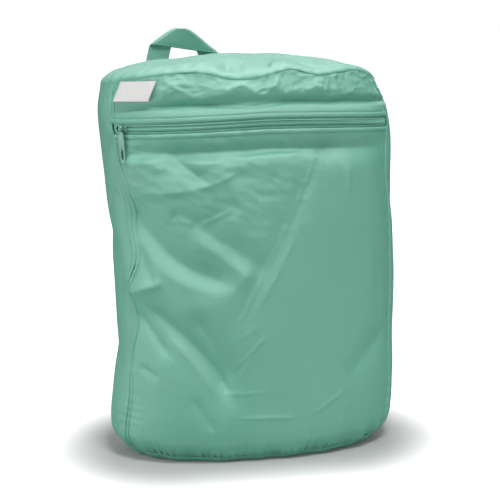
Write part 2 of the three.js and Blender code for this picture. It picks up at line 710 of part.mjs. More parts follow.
// Rows of the label: a third down the inner leaf, a third round its fold and a third up the outer leaf
function labelTravel(share, straight, run) {
  if (share <= 1 / 3) return straight * share * 3;
  if (share >= 2 / 3) return run - straight * (1 - share) * 3;
  return mix(straight, run - straight, share * 3 - 1);
}

// The label is a ribbon folded double at its lower edge, both ends caught in the top seam
function label() {
  const bend = (labelThickness + labelFoldGap) / 2;
  const straight = labelHeight - bend;
  const middleDepth = 2 * seamGap + labelThickness + labelFoldGap / 2;
  const run = 2 * straight + Math.PI * bend;
  const start = leftSeam + lengthToTurn(labelFromSeam, leftSeam, 1);
  const place = (travel) => {
    if (travel < straight) return { down: travel, out: -bend, turnDown: 0, turnOut: -1 };
    if (travel > run - straight) return { down: run - travel, out: bend, turnDown: 0, turnOut: 1 };
    const angle = (travel - straight) / bend;
    const turnOut = -Math.cos(angle);
    return { down: straight + bend * Math.sin(angle), out: bend * turnOut, turnDown: Math.sin(angle), turnOut };
  };
  return closedSheet(5, 12, (u, v, side) => {
    const travel = labelTravel(v, straight, run);
    const spot = place(travel);
    const half = (0.5 - side) * labelThickness;
    const down = spot.down + half * spot.turnDown;
    const swing = labelSwing * down / labelHeight;
    const out = middleDepth + swing + spot.out + half * spot.turnOut;
    const sideways = labelWidth * u - labelSkew * down / labelHeight;
    const around = start + lengthToTurn(sideways, start, 1);
    const up = topEdge(start) - (seamGap + labelThickness + down) / wallRise;
    return wallPoint(around, up, -out);
  });
}

const bag = new THREE.Group();
bag.add(piece('front_panel', wallPanel(frontColumns, frontStation, frontLevels), greenCloth));
bag.add(piece('zip_band', wallPanel(frontColumns, frontStation, bandLevels), paleCloth));
const sideBack = wallPanel(backColumns, backStation, [...frontLevels, ...bandLevels]);
bag.add(piece('side_back_panel', sideBack, greenCloth));
bag.add(piece('top_panel', topPanel(), paleCloth));
bag.add(piece('base_panel', basePanel(), greenCloth));
bag.add(piece('zip_tape_upper', zipTape(1), zipGreen));
bag.add(piece('zip_tape_lower', zipTape(-1), zipGreen));
bag.add(piece('zip_chain', zipChain(), zipGreen));
bag.add(piece('handle_strap', handleStrap(), paleCloth));
bag.add(piece('label', label(), whiteSatin));

const zipPlace = zipFrame(sliderTurn);
zipPlace.add(piece('zip_slider', slider(), pullGreen));
const pull = piece('pull_tab', pullTab(), pullGreen);
pull.position.set(0, 0, barHeight);
pull.rotation.x = -pullLean(zipPlace);
zipPlace.add(pull);
bag.add(zipPlace);

export default bag;
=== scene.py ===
"""A zipped cloth wet bag that stands by itself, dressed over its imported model.

The forms are worked out in millimetres and the meshes are in metres, with +Z up. Round the bag, 0
degrees is its left end, 90 its front (-Y), 180 its right end and 270 its back. Up the wall, 0 is the
seam with the base and 1 the shoulder.
"""

import logging
import math
from dataclasses import dataclass, field
from enum import Enum
from functools import cached_property
from typing import Callable, NamedTuple, Sequence

import bpy
import numpy as np
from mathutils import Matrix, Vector


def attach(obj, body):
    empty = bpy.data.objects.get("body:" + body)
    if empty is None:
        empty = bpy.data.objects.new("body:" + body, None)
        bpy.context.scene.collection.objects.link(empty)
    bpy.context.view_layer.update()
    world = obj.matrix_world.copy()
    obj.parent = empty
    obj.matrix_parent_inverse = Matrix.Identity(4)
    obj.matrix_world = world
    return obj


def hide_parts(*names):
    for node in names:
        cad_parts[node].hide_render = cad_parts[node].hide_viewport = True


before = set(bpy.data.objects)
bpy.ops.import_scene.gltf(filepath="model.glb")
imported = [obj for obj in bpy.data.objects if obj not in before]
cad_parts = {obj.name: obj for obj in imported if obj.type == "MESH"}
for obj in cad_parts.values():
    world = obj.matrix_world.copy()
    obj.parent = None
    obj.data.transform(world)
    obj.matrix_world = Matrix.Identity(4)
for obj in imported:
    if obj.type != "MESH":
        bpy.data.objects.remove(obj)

Array = np.ndarray
Edge = Callable[[Array], Array]
Socket = bpy.types.NodeSocket
Tree = bpy.types.NodeTree
Material = bpy.types.Material
MM = 0.001
DEGREE = math.pi / 180
SHARP_EDGE = 45
X_AXIS = np.array([1.0, 0, 0])
Y_AXIS = np.array([0, 1.0, 0])

log = logging.getLogger("wet_bag")


class Body(Enum):
    """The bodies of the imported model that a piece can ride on."""

    BAG = "root"
    PULL = "pull"


class Slot(Enum):
    """The record's material slots."""

    BODY = "body_cloth"
    TOP = "top_cloth"
    STRAP = "strap_cloth"
    TAPE = "zip_tape"
    COIL = "zip_coil"
    HARDWARE = "zip_hardware"
    LABEL = "label_satin"


class Section(NamedTuple):
    """Half widths and depths of the wall at one height, as shares of half the bag's."""

    up: float
    left: float
    right: float
    front: float
    back: float


class Sway(NamedTuple):
    """How far the left side seam wanders at one height, as a share of its sway."""

    up: float
    sway: float


class Lift(NamedTuple):
    """How far the top seam waves up at one place, as a share of its wave."""

    around: float
    lift: float


class Fold(NamedTuple):
    """A rounded ridge or valley between two places of the wall, along a bowed line.

    The bow is a share of its length, above and below are its widths on the two sides and rise its
    height, as shares of the fold sizes. Fade is the share of its length over which each end sinks,
    and power squares its profile.
    """

    start: float
    start_up: float
    end: float
    end_up: float
    bow: float
    above: float
    below: float
    rise: float
    fade: float = 0.25
    power: float = 1.6


class Dent(NamedTuple):
    """A round dent of the domed top: its place, size and rise as shares of the fold sizes."""

    around: float
    out: float
    size: float
    rise: float


class Crease(NamedTuple):
    """A straight crease of the domed top between two places, with its width and rise in millimetres."""

    around: float
    out: float
    to_around: float
    to_out: float
    width: float
    rise: float


class Gather(NamedTuple):
    """The gathered roll at one place: the bottom of the gully and the roll's lower edge, up the wall."""

    around: float
    gully: float
    roll: float


class StrapCorner(NamedTuple):
    """A diagonal fold of the strap loop, as shares of its span and rise from the left foot."""

    along: float
    rise: float


class PlateRow(NamedTuple):
    """A row of a plate's section: how far inside its outline, and its height."""

    inset: float
    height: float


WALL_SECTIONS = (
    Section(0.00, 0.890, 0.950, 0.88, 0.88),
    Section(0.05, 0.940, 1.000, 0.96, 0.96),
    Section(0.16, 0.920, 1.020, 1.00, 1.00),
    Section(0.30, 0.890, 1.010, 1.02, 1.02),
    Section(0.45, 0.900, 1.010, 1.04, 1.04),
    Section(0.60, 0.920, 0.990, 1.04, 1.04),
    Section(0.75, 0.950, 0.970, 1.02, 1.02),
    Section(0.86, 0.975, 0.965, 0.98, 1.00),
    Section(0.94, 0.985, 0.930, 0.93, 0.95),
    Section(1.00, 0.965, 0.860, 0.86, 0.86),
)

SEAM_PATH = (
    Sway(0.00, 0.00),
    Sway(0.16, 0.25),
    Sway(0.27, 0.00),
    Sway(0.36, 0.50),
    Sway(0.46, 0.25),
    Sway(0.54, 1.00),
    Sway(0.62, 0.70),
    Sway(0.70, 0.75),
    Sway(0.78, 0.25),
    Sway(0.86, 0.00),
    Sway(1.00, 0.00),
)

TOP_SEAM = (
    Lift(0, 0.0),
    Lift(25, 0.1),
    Lift(31, 0.5),
    Lift(42, 0.7),
    Lift(65, 1.1),
    Lift(80, 0.2),
    Lift(90, 0.3),
    Lift(103, 1.1),
    Lift(115, 0.6),
    Lift(130, 1.1),
    Lift(142, 1.3),
    Lift(155, 0.8),
    Lift(180, 0.0),
    Lift(235, 0.6),
    Lift(270, 0.4),
    Lift(305, 0.7),
    Lift(360, 0.0),
)

# The large folds, as the solids have them
MAIN_FOLDS = (
    Fold(20, 0.946, 176, 0.958, 0.00, 0.45, 0.50, -0.85),
    Fold(30, 0.828, 152, 0.832, 0.00, 0.60, 1.00, -0.60),
    Fold(26, 0.735, 82, 0.480, -0.14, 2.40, 1.70, -1.40),
    Fold(60, 0.650, 94, 0.490, 0.02, 1.30, 1.10, -0.80),
    Fold(53, 0.835, 69, 0.745, 0.00, 1.00, 0.90, -0.60),
    Fold(27, 0.735, 84, 0.790, -0.08, 1.20, 0.80, 0.50),
    Fold(52, 0.675, 66, 0.632, 0.00, 0.70, 0.70, -0.45),
    Fold(62, 0.632, 82, 0.695, 0.00, 0.70, 0.70, -0.45),
    Fold(22, 0.460, 50, 0.492, 0.00, 1.30, 0.80, 0.70),
    Fold(27, 0.450, 80, 0.120, 0.08, 1.20, 1.50, -1.10),
    Fold(27, 0.430, 52, 0.270, 0.00, 0.70, 0.90, -0.50),
    Fold(58, 0.430, 80, 0.190, 0.03, 0.90, 1.10, -0.60),
    Fold(114, 0.850, 74, 0.310, 0.00, 0.80, 0.80, -0.35),
    Fold(-4, 0.800, 27, 0.865, 0.05, 0.90, 0.90, -0.45),
    Fold(-30, 0.640, 22, 0.520, 0.06, 1.40, 1.20, -0.45),
    Fold(-26, 0.300, 24, 0.210, 0.05, 1.30, 1.30, -0.35),
    Fold(142, 0.830, 176, 0.600, 0.03, 0.90, 1.00, -0.25),
    Fold(122, 0.190, 150, 0.330, 0.04, 1.10, 1.00, -0.40),
    Fold(210, 0.780, 268, 0.560, -0.08, 1.60, 1.40, -0.90),
    Fold(320, 0.720, 276, 0.430, 0.06, 1.50, 1.50, -0.80),
    Fold(222, 0.420, 292, 0.180, 0.08, 1.60, 1.40, -0.80),
)

# Finer folds and thin creases of the front and of the left side
FINE_FOLDS = (
    Fold(27, 0.824, 124, 0.829, 0.00, 1.10, 0.40, -0.75, 0.12),
    Fold(108, 0.829, 160, 0.832, 0.00, 1.10, 1.10, -0.65, 0.20),
    Fold(30, 0.803, 52, 0.806, 0.00, 0.28, 1.20, 0.52),
    Fold(57, 0.808, 76, 0.804, -0.05, 0.30, 1.20, 0.50),
    Fold(77, 0.804, 106, 0.816, 0.02, 0.28, 1.00, 0.42),
    Fold(55, 0.815, 71, 0.742, 0.00, 0.35, 0.60, -0.42, 0.25, 1.3),
    Fold(33, 0.730, 86, 0.795, -0.09, 0.20, 0.25, 0.14),
    Fold(56, 0.725, 88, 0.770, 0.05, 0.80, 0.60, -0.20),
    Fold(30, 0.712, 80, 0.478, -0.15, 1.00, 0.60, -0.55, 0.15),
    Fold(33, 0.640, 72, 0.465, -0.16, 0.95, 0.75, 0.45),
    Fold(35, 0.590, 46, 0.460, -0.05, 0.50, 0.40, -0.35),
    Fold(54, 0.665, 64, 0.634, 0.00, 0.22, 0.30, 0.22, 0.35),
    Fold(62, 0.632, 80, 0.688, 0.00, 0.14, 0.24, 0.30, 0.35),
    Fold(60, 0.614, 87, 0.480, 0.02, 0.85, 0.90, 0.60, 0.20),
    Fold(112, 0.838, 76, 0.335, 0.01, 0.11, 0.12, 0.20, 0.15, 1.2),
    Fold(104, 0.633, 86, 0.400, 0.01, 0.11, 0.11, 0.19, 0.20, 1.2),
    Fold(92, 0.350, 76, 0.245, 0.00, 0.12, 0.12, 0.20, 0.20, 1.2),
    Fold(86, 0.300, 79, 0.210, 0.00, 0.12, 0.12, 0.18, 0.25, 1.2),
    Fold(72, 0.186, 92, 0.190, 0.00, 0.14, 0.14, 0.14, 0.25, 1.2),
    Fold(78, 0.330, 90, 0.376, 0.00, 0.12, 0.12, 0.14, 0.25, 1.2),
    Fold(124, 0.797, 125, 0.705, 0.00, 0.30, 0.30, 0.16),
    Fold(124, 0.180, 108, 0.113, 0.00, 0.18, 0.18, 0.18, 0.25, 1.2),
    Fold(78, 0.122, 104, 0.112, 0.00, 0.18, 0.20, 0.20, 0.25, 1.2),
    Fold(26, 0.445, 48, 0.490, 0.00, 0.40, 0.30, 0.45),
    Fold(31, 0.436, 80, 0.150, 0.08, 0.55, 0.45, -0.55, 0.20),
    Fold(46, 0.350, 74, 0.150, 0.06, 0.35, 0.60, 0.35),
    Fold(30, 0.405, 50, 0.280, 0.00, 0.35, 0.35, -0.40),
    Fold(60, 0.410, 77, 0.212, 0.03, 0.45, 0.50, -0.35),
    Fold(60, 0.185, 71, 0.080, 0.00, 0.40, 0.50, -0.30),
    Fold(32, 0.255, 46, 0.226, 0.00, 0.30, 0.40, -0.30),
    Fold(3, 0.820, 29, 0.884, 0.02, 0.35, 0.35, -0.35),
    Fold(8, 0.700, 24, 0.730, 0.00, 0.40, 0.50, -0.30),
    Fold(10, 0.410, 26, 0.470, 0.00, 0.50, 0.40, -0.32),
    Fold(62, 0.560, 74, 0.520, 0.00, 0.30, 0.40, 0.16),
    Fold(150, 0.740, 158, 0.500, 0.00, 0.40, 0.40, 0.10),
    Fold(196, 0.860, 222, 0.700, 0.04, 0.60, 0.50, -0.30),
    Fold(246, 0.840, 300, 0.852, 0.00, 0.60, 0.80, -0.35),
    Fold(236, 0.300, 262, 0.420, 0.03, 0.40, 0.50, 0.20),
    Fold(338, 0.500, 302, 0.350, 0.03, 0.50, 0.40, -0.30),
)

TOP_DENTS = (
    Dent(76, 0.80, 1.1, -0.70),
    Dent(93, 0.62, 1.3, -0.50),
    Dent(122, 0.72, 1.5, -0.50),
    Dent(152, 0.80, 1.0, -0.60),
    Dent(24, 0.62, 1.6, -0.40),
    Dent(250, 0.70, 1.8, -0.50),
    Dent(318, 0.60, 1.6, -0.40),
)

TOP_CREASES = (
    Crease(92, 0.98, 98, 0.60, 3.0, -1.6),
    Crease(96, 0.96, 101, 0.66, 2.4, 0.9),
    Crease(78, 0.97, 72, 0.70, 3.5, -1.4),
    Crease(121, 0.98, 118, 0.62, 3.0, -1.2),
    Crease(54, 0.99, 50, 0.80, 2.6, -1.0),
    Crease(61, 0.99, 58, 0.82, 2.2, -0.8),
    Crease(146, 0.99, 140, 0.72, 3.5, -1.4),
    Crease(34, 0.97, 62, 0.40, 5.0, -0.7),
    Crease(230, 0.97, 222, 0.55, 4.0, -1.2),
    Crease(296, 0.97, 306, 0.50, 4.0, -1.2),
)

# The ragged roll under the top seam and the gully beneath it
GATHERED_ROLL = (
    Gather(25, 0.936, 0.955),
    Gather(29, 0.937, 0.962),
    Gather(40, 0.942, 0.968),
    Gather(48, 0.945, 0.978),
    Gather(53, 0.948, 0.985),
    Gather(57, 0.950, 0.992),
    Gather(63, 0.952, 0.972),
    Gather(67, 0.950, 0.962),
    Gather(72, 0.947, 0.970),
    Gather(76, 0.944, 0.973),
    Gather(79, 0.942, 0.985),
    Gather(82, 0.941, 0.990),
    Gather(84, 0.939, 0.987),
    Gather(87, 0.938, 0.970),
    Gather(91, 0.940, 0.965),
    Gather(93, 0.942, 0.980),
    Gather(95, 0.945, 0.988),
    Gather(97, 0.948, 0.980),
    Gather(99, 0.949, 0.968),
    Gather(103, 0.951, 0.967),
    Gather(107, 0.952, 0.971),
    Gather(111, 0.952, 0.982),
    Gather(114, 0.952, 0.987),
    Gather(117, 0.950, 0.977),
    Gather(119, 0.952, 0.965),
    Gather(125, 0.957, 0.968),
    Gather(133, 0.957, 0.973),
    Gather(144, 0.957, 0.972),
    Gather(160, 0.957, 0.966),
    Gather(180, 0.955, 0.960),
)

STRAP_CORNERS = (StrapCorner(0.13, 1.00), StrapCorner(0.81, 0.82))


def read_track(rows: Sequence[NamedTuple], key: str, column: str, at: Array) -> Array:
    """Reads one column of a table on a smooth curve through its rows, straight on past its ends.

    Between two rows the curve is a cubic with each row's slope, which is that between its neighbours.

    Args:
        rows: The table, in rising order of its key.
        key: The column to look up by.
        column: The column to read.
        at: The places to read at.

    Returns:
        The column's values there.
    """
    keys = np.array([getattr(row, key) for row in rows], float)
    values = np.array([getattr(row, column) for row in rows], float)
    last = len(rows) - 1
    before = np.maximum(np.arange(last + 1) - 1, 0)
    after = np.minimum(np.arange(last + 1) + 1, last)
    slopes = (values[after] - values[before]) / (keys[after] - keys[before])
    at = np.asarray(at, float)
    i = np.clip(np.searchsorted(keys, at, side="right") - 1, 0, last - 1)
    span = keys[i + 1] - keys[i]
    q = (at - keys[i]) / span
    end = 3 * q**2 - 2 * q**3
    lead = (q**3 - 2 * q**2 + q) * span * slopes[i]
    tail = (q**3 - q**2) * span * slopes[i + 1]
    inside = (1 - end) * values[i] + lead + end * values[i + 1] + tail
    under = values[0] + slopes[0] * (at - keys[0])
    over = values[last] + slopes[last] * (at - keys[last])
    return np.where(at <= keys[0], under, np.where(at >= keys[last], over, inside))


def mix(start: Array, end: Array, share: Array) -> Array:
    """Returns the value a share of the way from start to end."""
    return start + (end - start) * share


def ease(value: Array) -> Array:
    """Returns 0 below 0, 1 above 1 and a smooth step between."""
    q = np.clip(value, 0, 1)
    return q * q * (3 - 2 * q)


def bell(distance: Array, width: float) -> Array:
    """Returns a bell curve of that distance: 1 in the middle, falling off over the width."""
    return np.exp(-((distance / width) ** 2))


def unit(vectors: Array) -> Array:
    """Returns the vectors at length 1."""
    return vectors / np.linalg.norm(vectors, axis=-1, keepdims=True)


def crowded(count: int, crowding: float) -> Array:
    """Spreads places from 0 to 1, closer together at both ends.

    The place is t less a sine of one whole turn, so that the steps at the ends are 1 - crowding of the mean.

    Args:
        count: How many steps there are.
        crowding: How much closer the end steps are, from 0 to 1.

    Returns:
        The places, one more than the steps.
    """
    t = np.linspace(0, 1, count + 1)
    return t - crowding * np.sin(2 * np.pi * t) / (2 * np.pi)


@dataclass(frozen=True)
class Ripple:
    """Smooth seeded noise on a lattice, for the small unevenness of cloth."""

    seed: int
    lattice: int = 64

    @cached_property
    def knots(self) -> Array:
        """The values at the corners of the lattice, from -1 to 1."""
        return np.random.default_rng(self.seed).uniform(-1, 1, (self.lattice, self.lattice))

    def at(self, across: Array, along: Array) -> Array:
        """Reads the noise: the four knots round a place, mixed by smooth steps.

        Args:
            across: Places in lattice steps.
            along: Places in lattice steps.

        Returns:
            Values from -1 to 1.
        """
        column = np.floor(across).astype(int)
        row = np.floor(along).astype(int)
        right = ease(across - column)
        above = ease(along - row)
        wrap = self.lattice
        near = mix(self.knots[row % wrap, column % wrap], self.knots[row % wrap, (column + 1) % wrap], right)
        far_row = (row + 1) % wrap
        far = mix(self.knots[far_row, column % wrap], self.knots[far_row, (column + 1) % wrap], right)
        return mix(near, far, above)


@dataclass(frozen=True)
class BagForm:
    """The standing bag's sizes and the places on its wall, in millimetres and degrees."""

    width: float = 320
    depth: float = 156
    shoulder: float = 400
    dome_rise: float = 24
    heel: float = 4.5
    corner_lift: float = 7
    left_drop: float = 6
    right_drop: float = 8
    thickness: float = 1.5
    gap: float = 0.3
    squareness: float = 2.3
    dome_roundness: float = 2.2
    side_angle: float = 25
    sway: float = 8
    seam_wave: float = 10
    base_flat: float = 0.86
    fold_depth: float = 6
    fold_width: float = 12
    gather_depth: float = 1.2
    gather_height: float = 14
    gather_count: int = 22
    zip_drop: float = 42
    zip_tilt: float = 4
    zip_window: float = 11

    @property
    def wall_rise(self) -> float:
        """The wall's height from the base seam to the shoulder."""
        return self.shoulder - self.heel

    @property
    def zip_up(self) -> float:
        """The zip's place up the wall, at the middle of the front."""
        return 1 - self.zip_drop / self.wall_rise

    @property
    def window_half(self) -> float:
        """Half the zip window's height, as a share of the wall."""
        return self.zip_window / 2 / self.wall_rise

    @property
    def left_seam(self) -> float:
        """The angle of the left side seam."""
        return self.side_angle

    @property
    def right_seam(self) -> float:
        """The angle of the right side seam."""
        return 180 - self.side_angle

    def section(self, around: Array) -> tuple[Array, Array]:
        """Returns the place across and deep on the rounded oblong of half size 1.

        The direction of the angle is stretched until the two shares, each raised to the squareness,
        add up to 1.

        Args:
            around: Angles.

        Returns:
            The two places.
        """
        across = -np.cos(around * DEGREE)
        deep = -np.sin(around * DEGREE)
        total = np.abs(across) ** self.squareness + np.abs(deep) ** self.squareness
        reach = total ** (1 / self.squareness)
        return across / reach, deep / reach

    def smooth_wall(self, around: Array, up: Array) -> Array:
        """Returns points of the wall before its folds.

        The oblong section is scaled by the table of half sizes, and the height runs from the lifted
        foot to the dropped shoulder.

        Args:
            around: Angles.
            up: Heights.

        Returns:
            The points.
        """
        around, up = np.broadcast_arrays(np.asarray(around, float), np.asarray(up, float))
        across, deep = self.section(around)
        sides = ("left", "right", "front", "back")
        left, right, front, back = (read_track(WALL_SECTIONS, "up", side, up) for side in sides)
        half_width = self.width / 2 * np.where(across < 0, left, right)
        half_depth = self.depth / 2 * np.where(deep < 0, front, back)
        foot = self.heel + self.corner_lift * np.abs(across) ** 3
        drop = np.where(across < 0, -self.left_drop * across, self.right_drop * across**2)
        height = foot + up * (self.shoulder - drop - foot)
        return np.stack([half_width * across, half_depth * deep, height], -1)

    def wall_normal(self, around: Array, up: Array) -> Array:
        """Returns the smooth wall's outward normals: sideways steps crossed with upward ones.

        Args:
            around: Angles.
            up: Heights.

        Returns:
            Directions of length 1.
        """
        turn = 0.5
        step = 0.002
        sideways = self.smooth_wall(around + turn, up) - self.smooth_wall(around - turn, up)
        upwards = self.smooth_wall(around, up + step) - self.smooth_wall(around, up - step)
        return unit(np.cross(sideways, upwards))

    @cached_property
    def girth_table(self) -> Array:
        """Length of cloth round the bag at mid height, degree by degree from the left end.

        Returns:
            The sums of the chords' lengths.
        """
        ring = self.smooth_wall(np.arange(361), 0.5)
        chords = np.linalg.norm(np.diff(ring, axis=0), axis=-1)
        return np.concatenate([[0], np.cumsum(chords)])

    def girth(self, around: Array) -> Array:
        """Returns the length of cloth from the left end to these angles.

        Args:
            around: Angles.

        Returns:
            The lengths.
        """
        turns = np.floor(np.asarray(around, float) / 360)
        rest = around - 360 * turns
        return turns * self.girth_table[-1] + np.interp(rest, np.arange(361), self.girth_table)

    def one_fold(self, fold: Fold, around: Array, up: Array) -> Array:
        """Returns the height of one fold at places of the flattened wall.

        It falls off with the distance from a bowed line, as e to the minus power of that distance
        over the width, and fades at both ends.

        Args:
            fold: The fold.
            around: Angles.
            up: Heights.

        Returns:
            The height.
        """
        nearest = around + 360 * np.round(((fold.start + fold.end) / 2 - around) / 360)
        run = self.girth(fold.end) - self.girth(fold.start)
        climb = (fold.end_up - fold.start_up) * self.wall_rise
        length = math.hypot(run, climb)
        right = self.girth(nearest) - self.girth(fold.start)
        higher = (up - fold.start_up) * self.wall_rise
        along = (right * run + higher * climb) / length**2
        bowed = fold.bow * length * 4 * along * (1 - along)
        aside = (higher * run - right * climb) / length - bowed
        width = self.fold_width * np.where(aside > 0, fold.above, fold.below)
        taper = ease(along / fold.fade) * ease((1 - along) / fold.fade)
        return self.fold_depth * fold.rise * taper * np.exp(-((np.abs(aside) / width) ** fold.power))

    def folds(self, around: Array, up: Array, rows: Sequence[Fold]) -> Array:
        """Returns the height of all these folds together."""
        return sum(self.one_fold(fold, around, up) for fold in rows)

    def gathers(self, around: Array, up: Array) -> Array:
        """Returns the height of the gathers above the base seam: uneven waves that fade upwards.

        Args:
            around: Angles.
            up: Heights.

        Returns:
            The height.
        """
        fade = np.exp(-up * self.wall_rise / self.gather_height)
        turn = around * DEGREE
        uneven = np.sin(3 * turn) + np.cos(7 * turn)
        return self.gather_depth * fade * np.sin(self.gather_count * turn + uneven)

    def main_relief(self, around: Array, up: Array) -> Array:
        """Returns the height of the large folds and gathers, which the solids have too."""
        return self.folds(around, up, MAIN_FOLDS) + self.gathers(around, up)

    def wall_point(self, around: Array, up: Array, inward: Array) -> Array:
        """Returns points a distance inward from the wall with its large folds."""
        out = self.main_relief(around, up) - inward
        return self.smooth_wall(around, up) + self.wall_normal(around, up) * out[..., None]

    def left_seam_at(self, up: Array) -> Array:
        """Returns the angle of the left side seam at these heights."""
        return self.left_seam + self.sway * read_track(SEAM_PATH, "up", "sway", up)

    def zip_level(self, around: Array) -> Array:
        """Returns the zip's height: it climbs to the right seam and sinks back behind the bag.

        Args:
            around: Angles.

        Returns:
            The heights.
        """
        turn = np.mod(np.asarray(around, float) - self.left_seam, 360)
        across = self.right_seam - self.left_seam
        share = np.where(turn < across, turn / across, (360 - turn) / (360 - across))
        return self.zip_up + self.zip_tilt * (share - 0.5) / self.wall_rise

    def top_edge(self, around: Array) -> Array:
        """Returns the height of the waving top seam."""
        lift = read_track(TOP_SEAM, "around", "lift", np.mod(around, 360))
        return 1 + self.seam_wave * lift / self.wall_rise

    def length_to_turn(self, length: Array, around: Array, up: Array) -> Array:
        """Turns a length along the wall into degrees at one place."""
        chord = self.smooth_wall(around + 0.5, up) - self.smooth_wall(around - 0.5, up)
        return length / np.linalg.norm(chord, axis=-1)

    def seam_point(self, around: Array) -> Array:
        """Returns points of the top seam."""
        return self.smooth_wall(around, self.top_edge(around))


class Shell(NamedTuple):
    """Points in millimetres, faces that index them, and a flat place of each point on its cloth."""

    points: Array
    faces: list
    flat: Array


def outward(points: Array, faces: list) -> list:
    """Turns the faces of a closed shell so that they point out, by the sign of its volume.

    Args:
        points: The shell's points.
        faces: Its faces.

    Returns:
        The faces, all kept or all turned over.
    """
    corners = np.array([face[:3] for face in faces])
    fourth = np.array([face[-1] for face in faces])
    a, b, c, d = (points[i] for i in (*corners.T, fourth))
    volume = np.sum(a * np.cross(b, c)) + np.sum(a * np.cross(c, d))
    return faces if volume > 0 else [face[::-1] for face in faces]


def quads(a: Array, b: Array, c: Array, d: Array) -> list:
    """Returns faces with these four corners each."""
    return np.stack([a.ravel(), b.ravel(), c.ravel(), d.ravel()], -1).tolist()


def closed_sheet(outer: Array, inner: Array, flat: Array) -> Shell:
    """Joins two grids of points into a closed sheet with four rims.

    Args:
        outer: Points of the outer face, rows by columns by 3.
        inner: Points of the inner face, the same.
        flat: The flat places, rows by columns by 2.

    Returns:
        The closed sheet.
    """
    rows, columns = outer.shape[:2]
    count = rows * columns
    near = np.arange(count).reshape(rows, columns)
    far = near + count
    faces = quads(near[:-1, :-1], near[:-1, 1:], near[1:, 1:], near[1:, :-1])
    faces += quads(far[:-1, :-1], far[1:, :-1], far[1:, 1:], far[:-1, 1:])
    faces += quads(near[:-1, 0], near[1:, 0], far[1:, 0], far[:-1, 0])
    faces += quads(near[:-1, -1], far[:-1, -1], far[1:, -1], near[1:, -1])
    faces += quads(near[0, :-1], far[0, :-1], far[0, 1:], near[0, 1:])
    faces += quads(near[-1, :-1], near[-1, 1:], far[-1, 1:], far[-1, :-1])
    points = np.concatenate([outer.reshape(-1, 3), inner.reshape(-1, 3)])
    places = np.concatenate([flat.reshape(-1, 2), flat.reshape(-1, 2)])
    return Shell(points, outward(points, faces), places)


def ring_loft(rings: Array, ring_round: bool, flat: Array | None = None) -> Shell:
    """Joins closed rings of points, one after the other.

    Args:
        rings: Rings by points by 3.
        ring_round: True if the last ring joins the first, false if a pole closes each end.
        flat: The flat places, rings by points by 2, or none for the places in X and Y.

    Returns:
        The closed shell.
    """
    rows, columns = rings.shape[:2]
    index = np.arange(rows * columns).reshape(rows, columns)
    beside = np.roll(index, -1, axis=1)
    places = rings[..., :2] if flat is None else flat
    if ring_round:
        after = np.roll(index, -1, axis=0)
        faces = quads(index, beside, np.roll(after, -1, axis=1), after)
        points = rings.reshape(-1, 3)
        return Shell(points, outward(points, faces), places.reshape(-1, 2))
    faces = quads(index[:-1], beside[:-1], beside[1:], index[1:])
    start, end = rows * columns, rows * columns + 1
    ends = zip(index[0].tolist(), beside[0].tolist(), index[-1].tolist(), beside[-1].tolist())
    for a, b, c, d in ends:
        faces += [[start, b, a], [end, c, d]]
    poles = np.stack([rings[0].mean(0), rings[-1].mean(0)])
    points = np.concatenate([rings.reshape(-1, 3), poles])
    pole_places = np.stack([places[0].mean(0), places[-1].mean(0)])
    return Shell(points, outward(points, faces), np.concatenate([places.reshape(-1, 2), pole_places]))


def joined(shells: Sequence[Shell]) -> Shell:
    """Puts several closed shells into one.

    Args:
        shells: The shells.

    Returns:
        One shell of all their points and faces.
    """
    faces = []
    offset = 0
    for shell in shells:
        faces += [[i + offset for i in face] for face in shell.faces]
        offset += len(shell.points)
    points = np.concatenate([shell.points for shell in shells])
    return Shell(points, faces, np.concatenate([shell.flat for shell in shells]))


def superellipse(half_width: float, half_height: float, power: float, count: int) -> Array:
    """Returns a rounded oblong in a plane: cosine and sine, each raised to 2 over the power.

    Args:
        half_width: Half its width.
        half_height: Half its height.
        power: 2 for an ellipse, more for squarer corners.
        count: How many points.

    Returns:
        The points.
    """
    turn = np.linspace(0, 2 * np.pi, count, endpoint=False)
    across, up = np.cos(turn), np.sin(turn)
    return np.stack([
        half_width * np.sign(across) * np.abs(across) ** (2 / power),
        half_height * np.sign(up) * np.abs(up) ** (2 / power),
    ], -1)


def swept_tube(path: Array, reach: Array, width: float, height: float, sides: int) -> Shell:
    """Carries an ellipse along a path.

    Args:
        path: The path's points.
        reach: The direction that the ellipse's width follows, or one for each point.
        width: Half the ellipse's size along that direction.
        height: Half its size across both the path and that direction.
        sides: How many points it has.

    Returns:
        The closed tube, with poles at its ends.
    """
    along = unit(np.gradient(path, axis=0))
    across = unit(np.cross(along, reach))
    level = np.cross(across, along)
    turn = np.linspace(0, 2 * np.pi, sides, endpoint=False)
    ring = width * np.cos(turn)[:, None] * level[:, None] + height * np.sin(turn)[:, None] * across[:, None]
    travel = np.concatenate([[0], np.cumsum(np.linalg.norm(np.diff(path, axis=0), axis=-1))])
    flat = np.stack(np.broadcast_arrays(travel[:, None], (turn * width)[None, :]), -1)
    return ring_loft(path[:, None] + ring, False, flat)


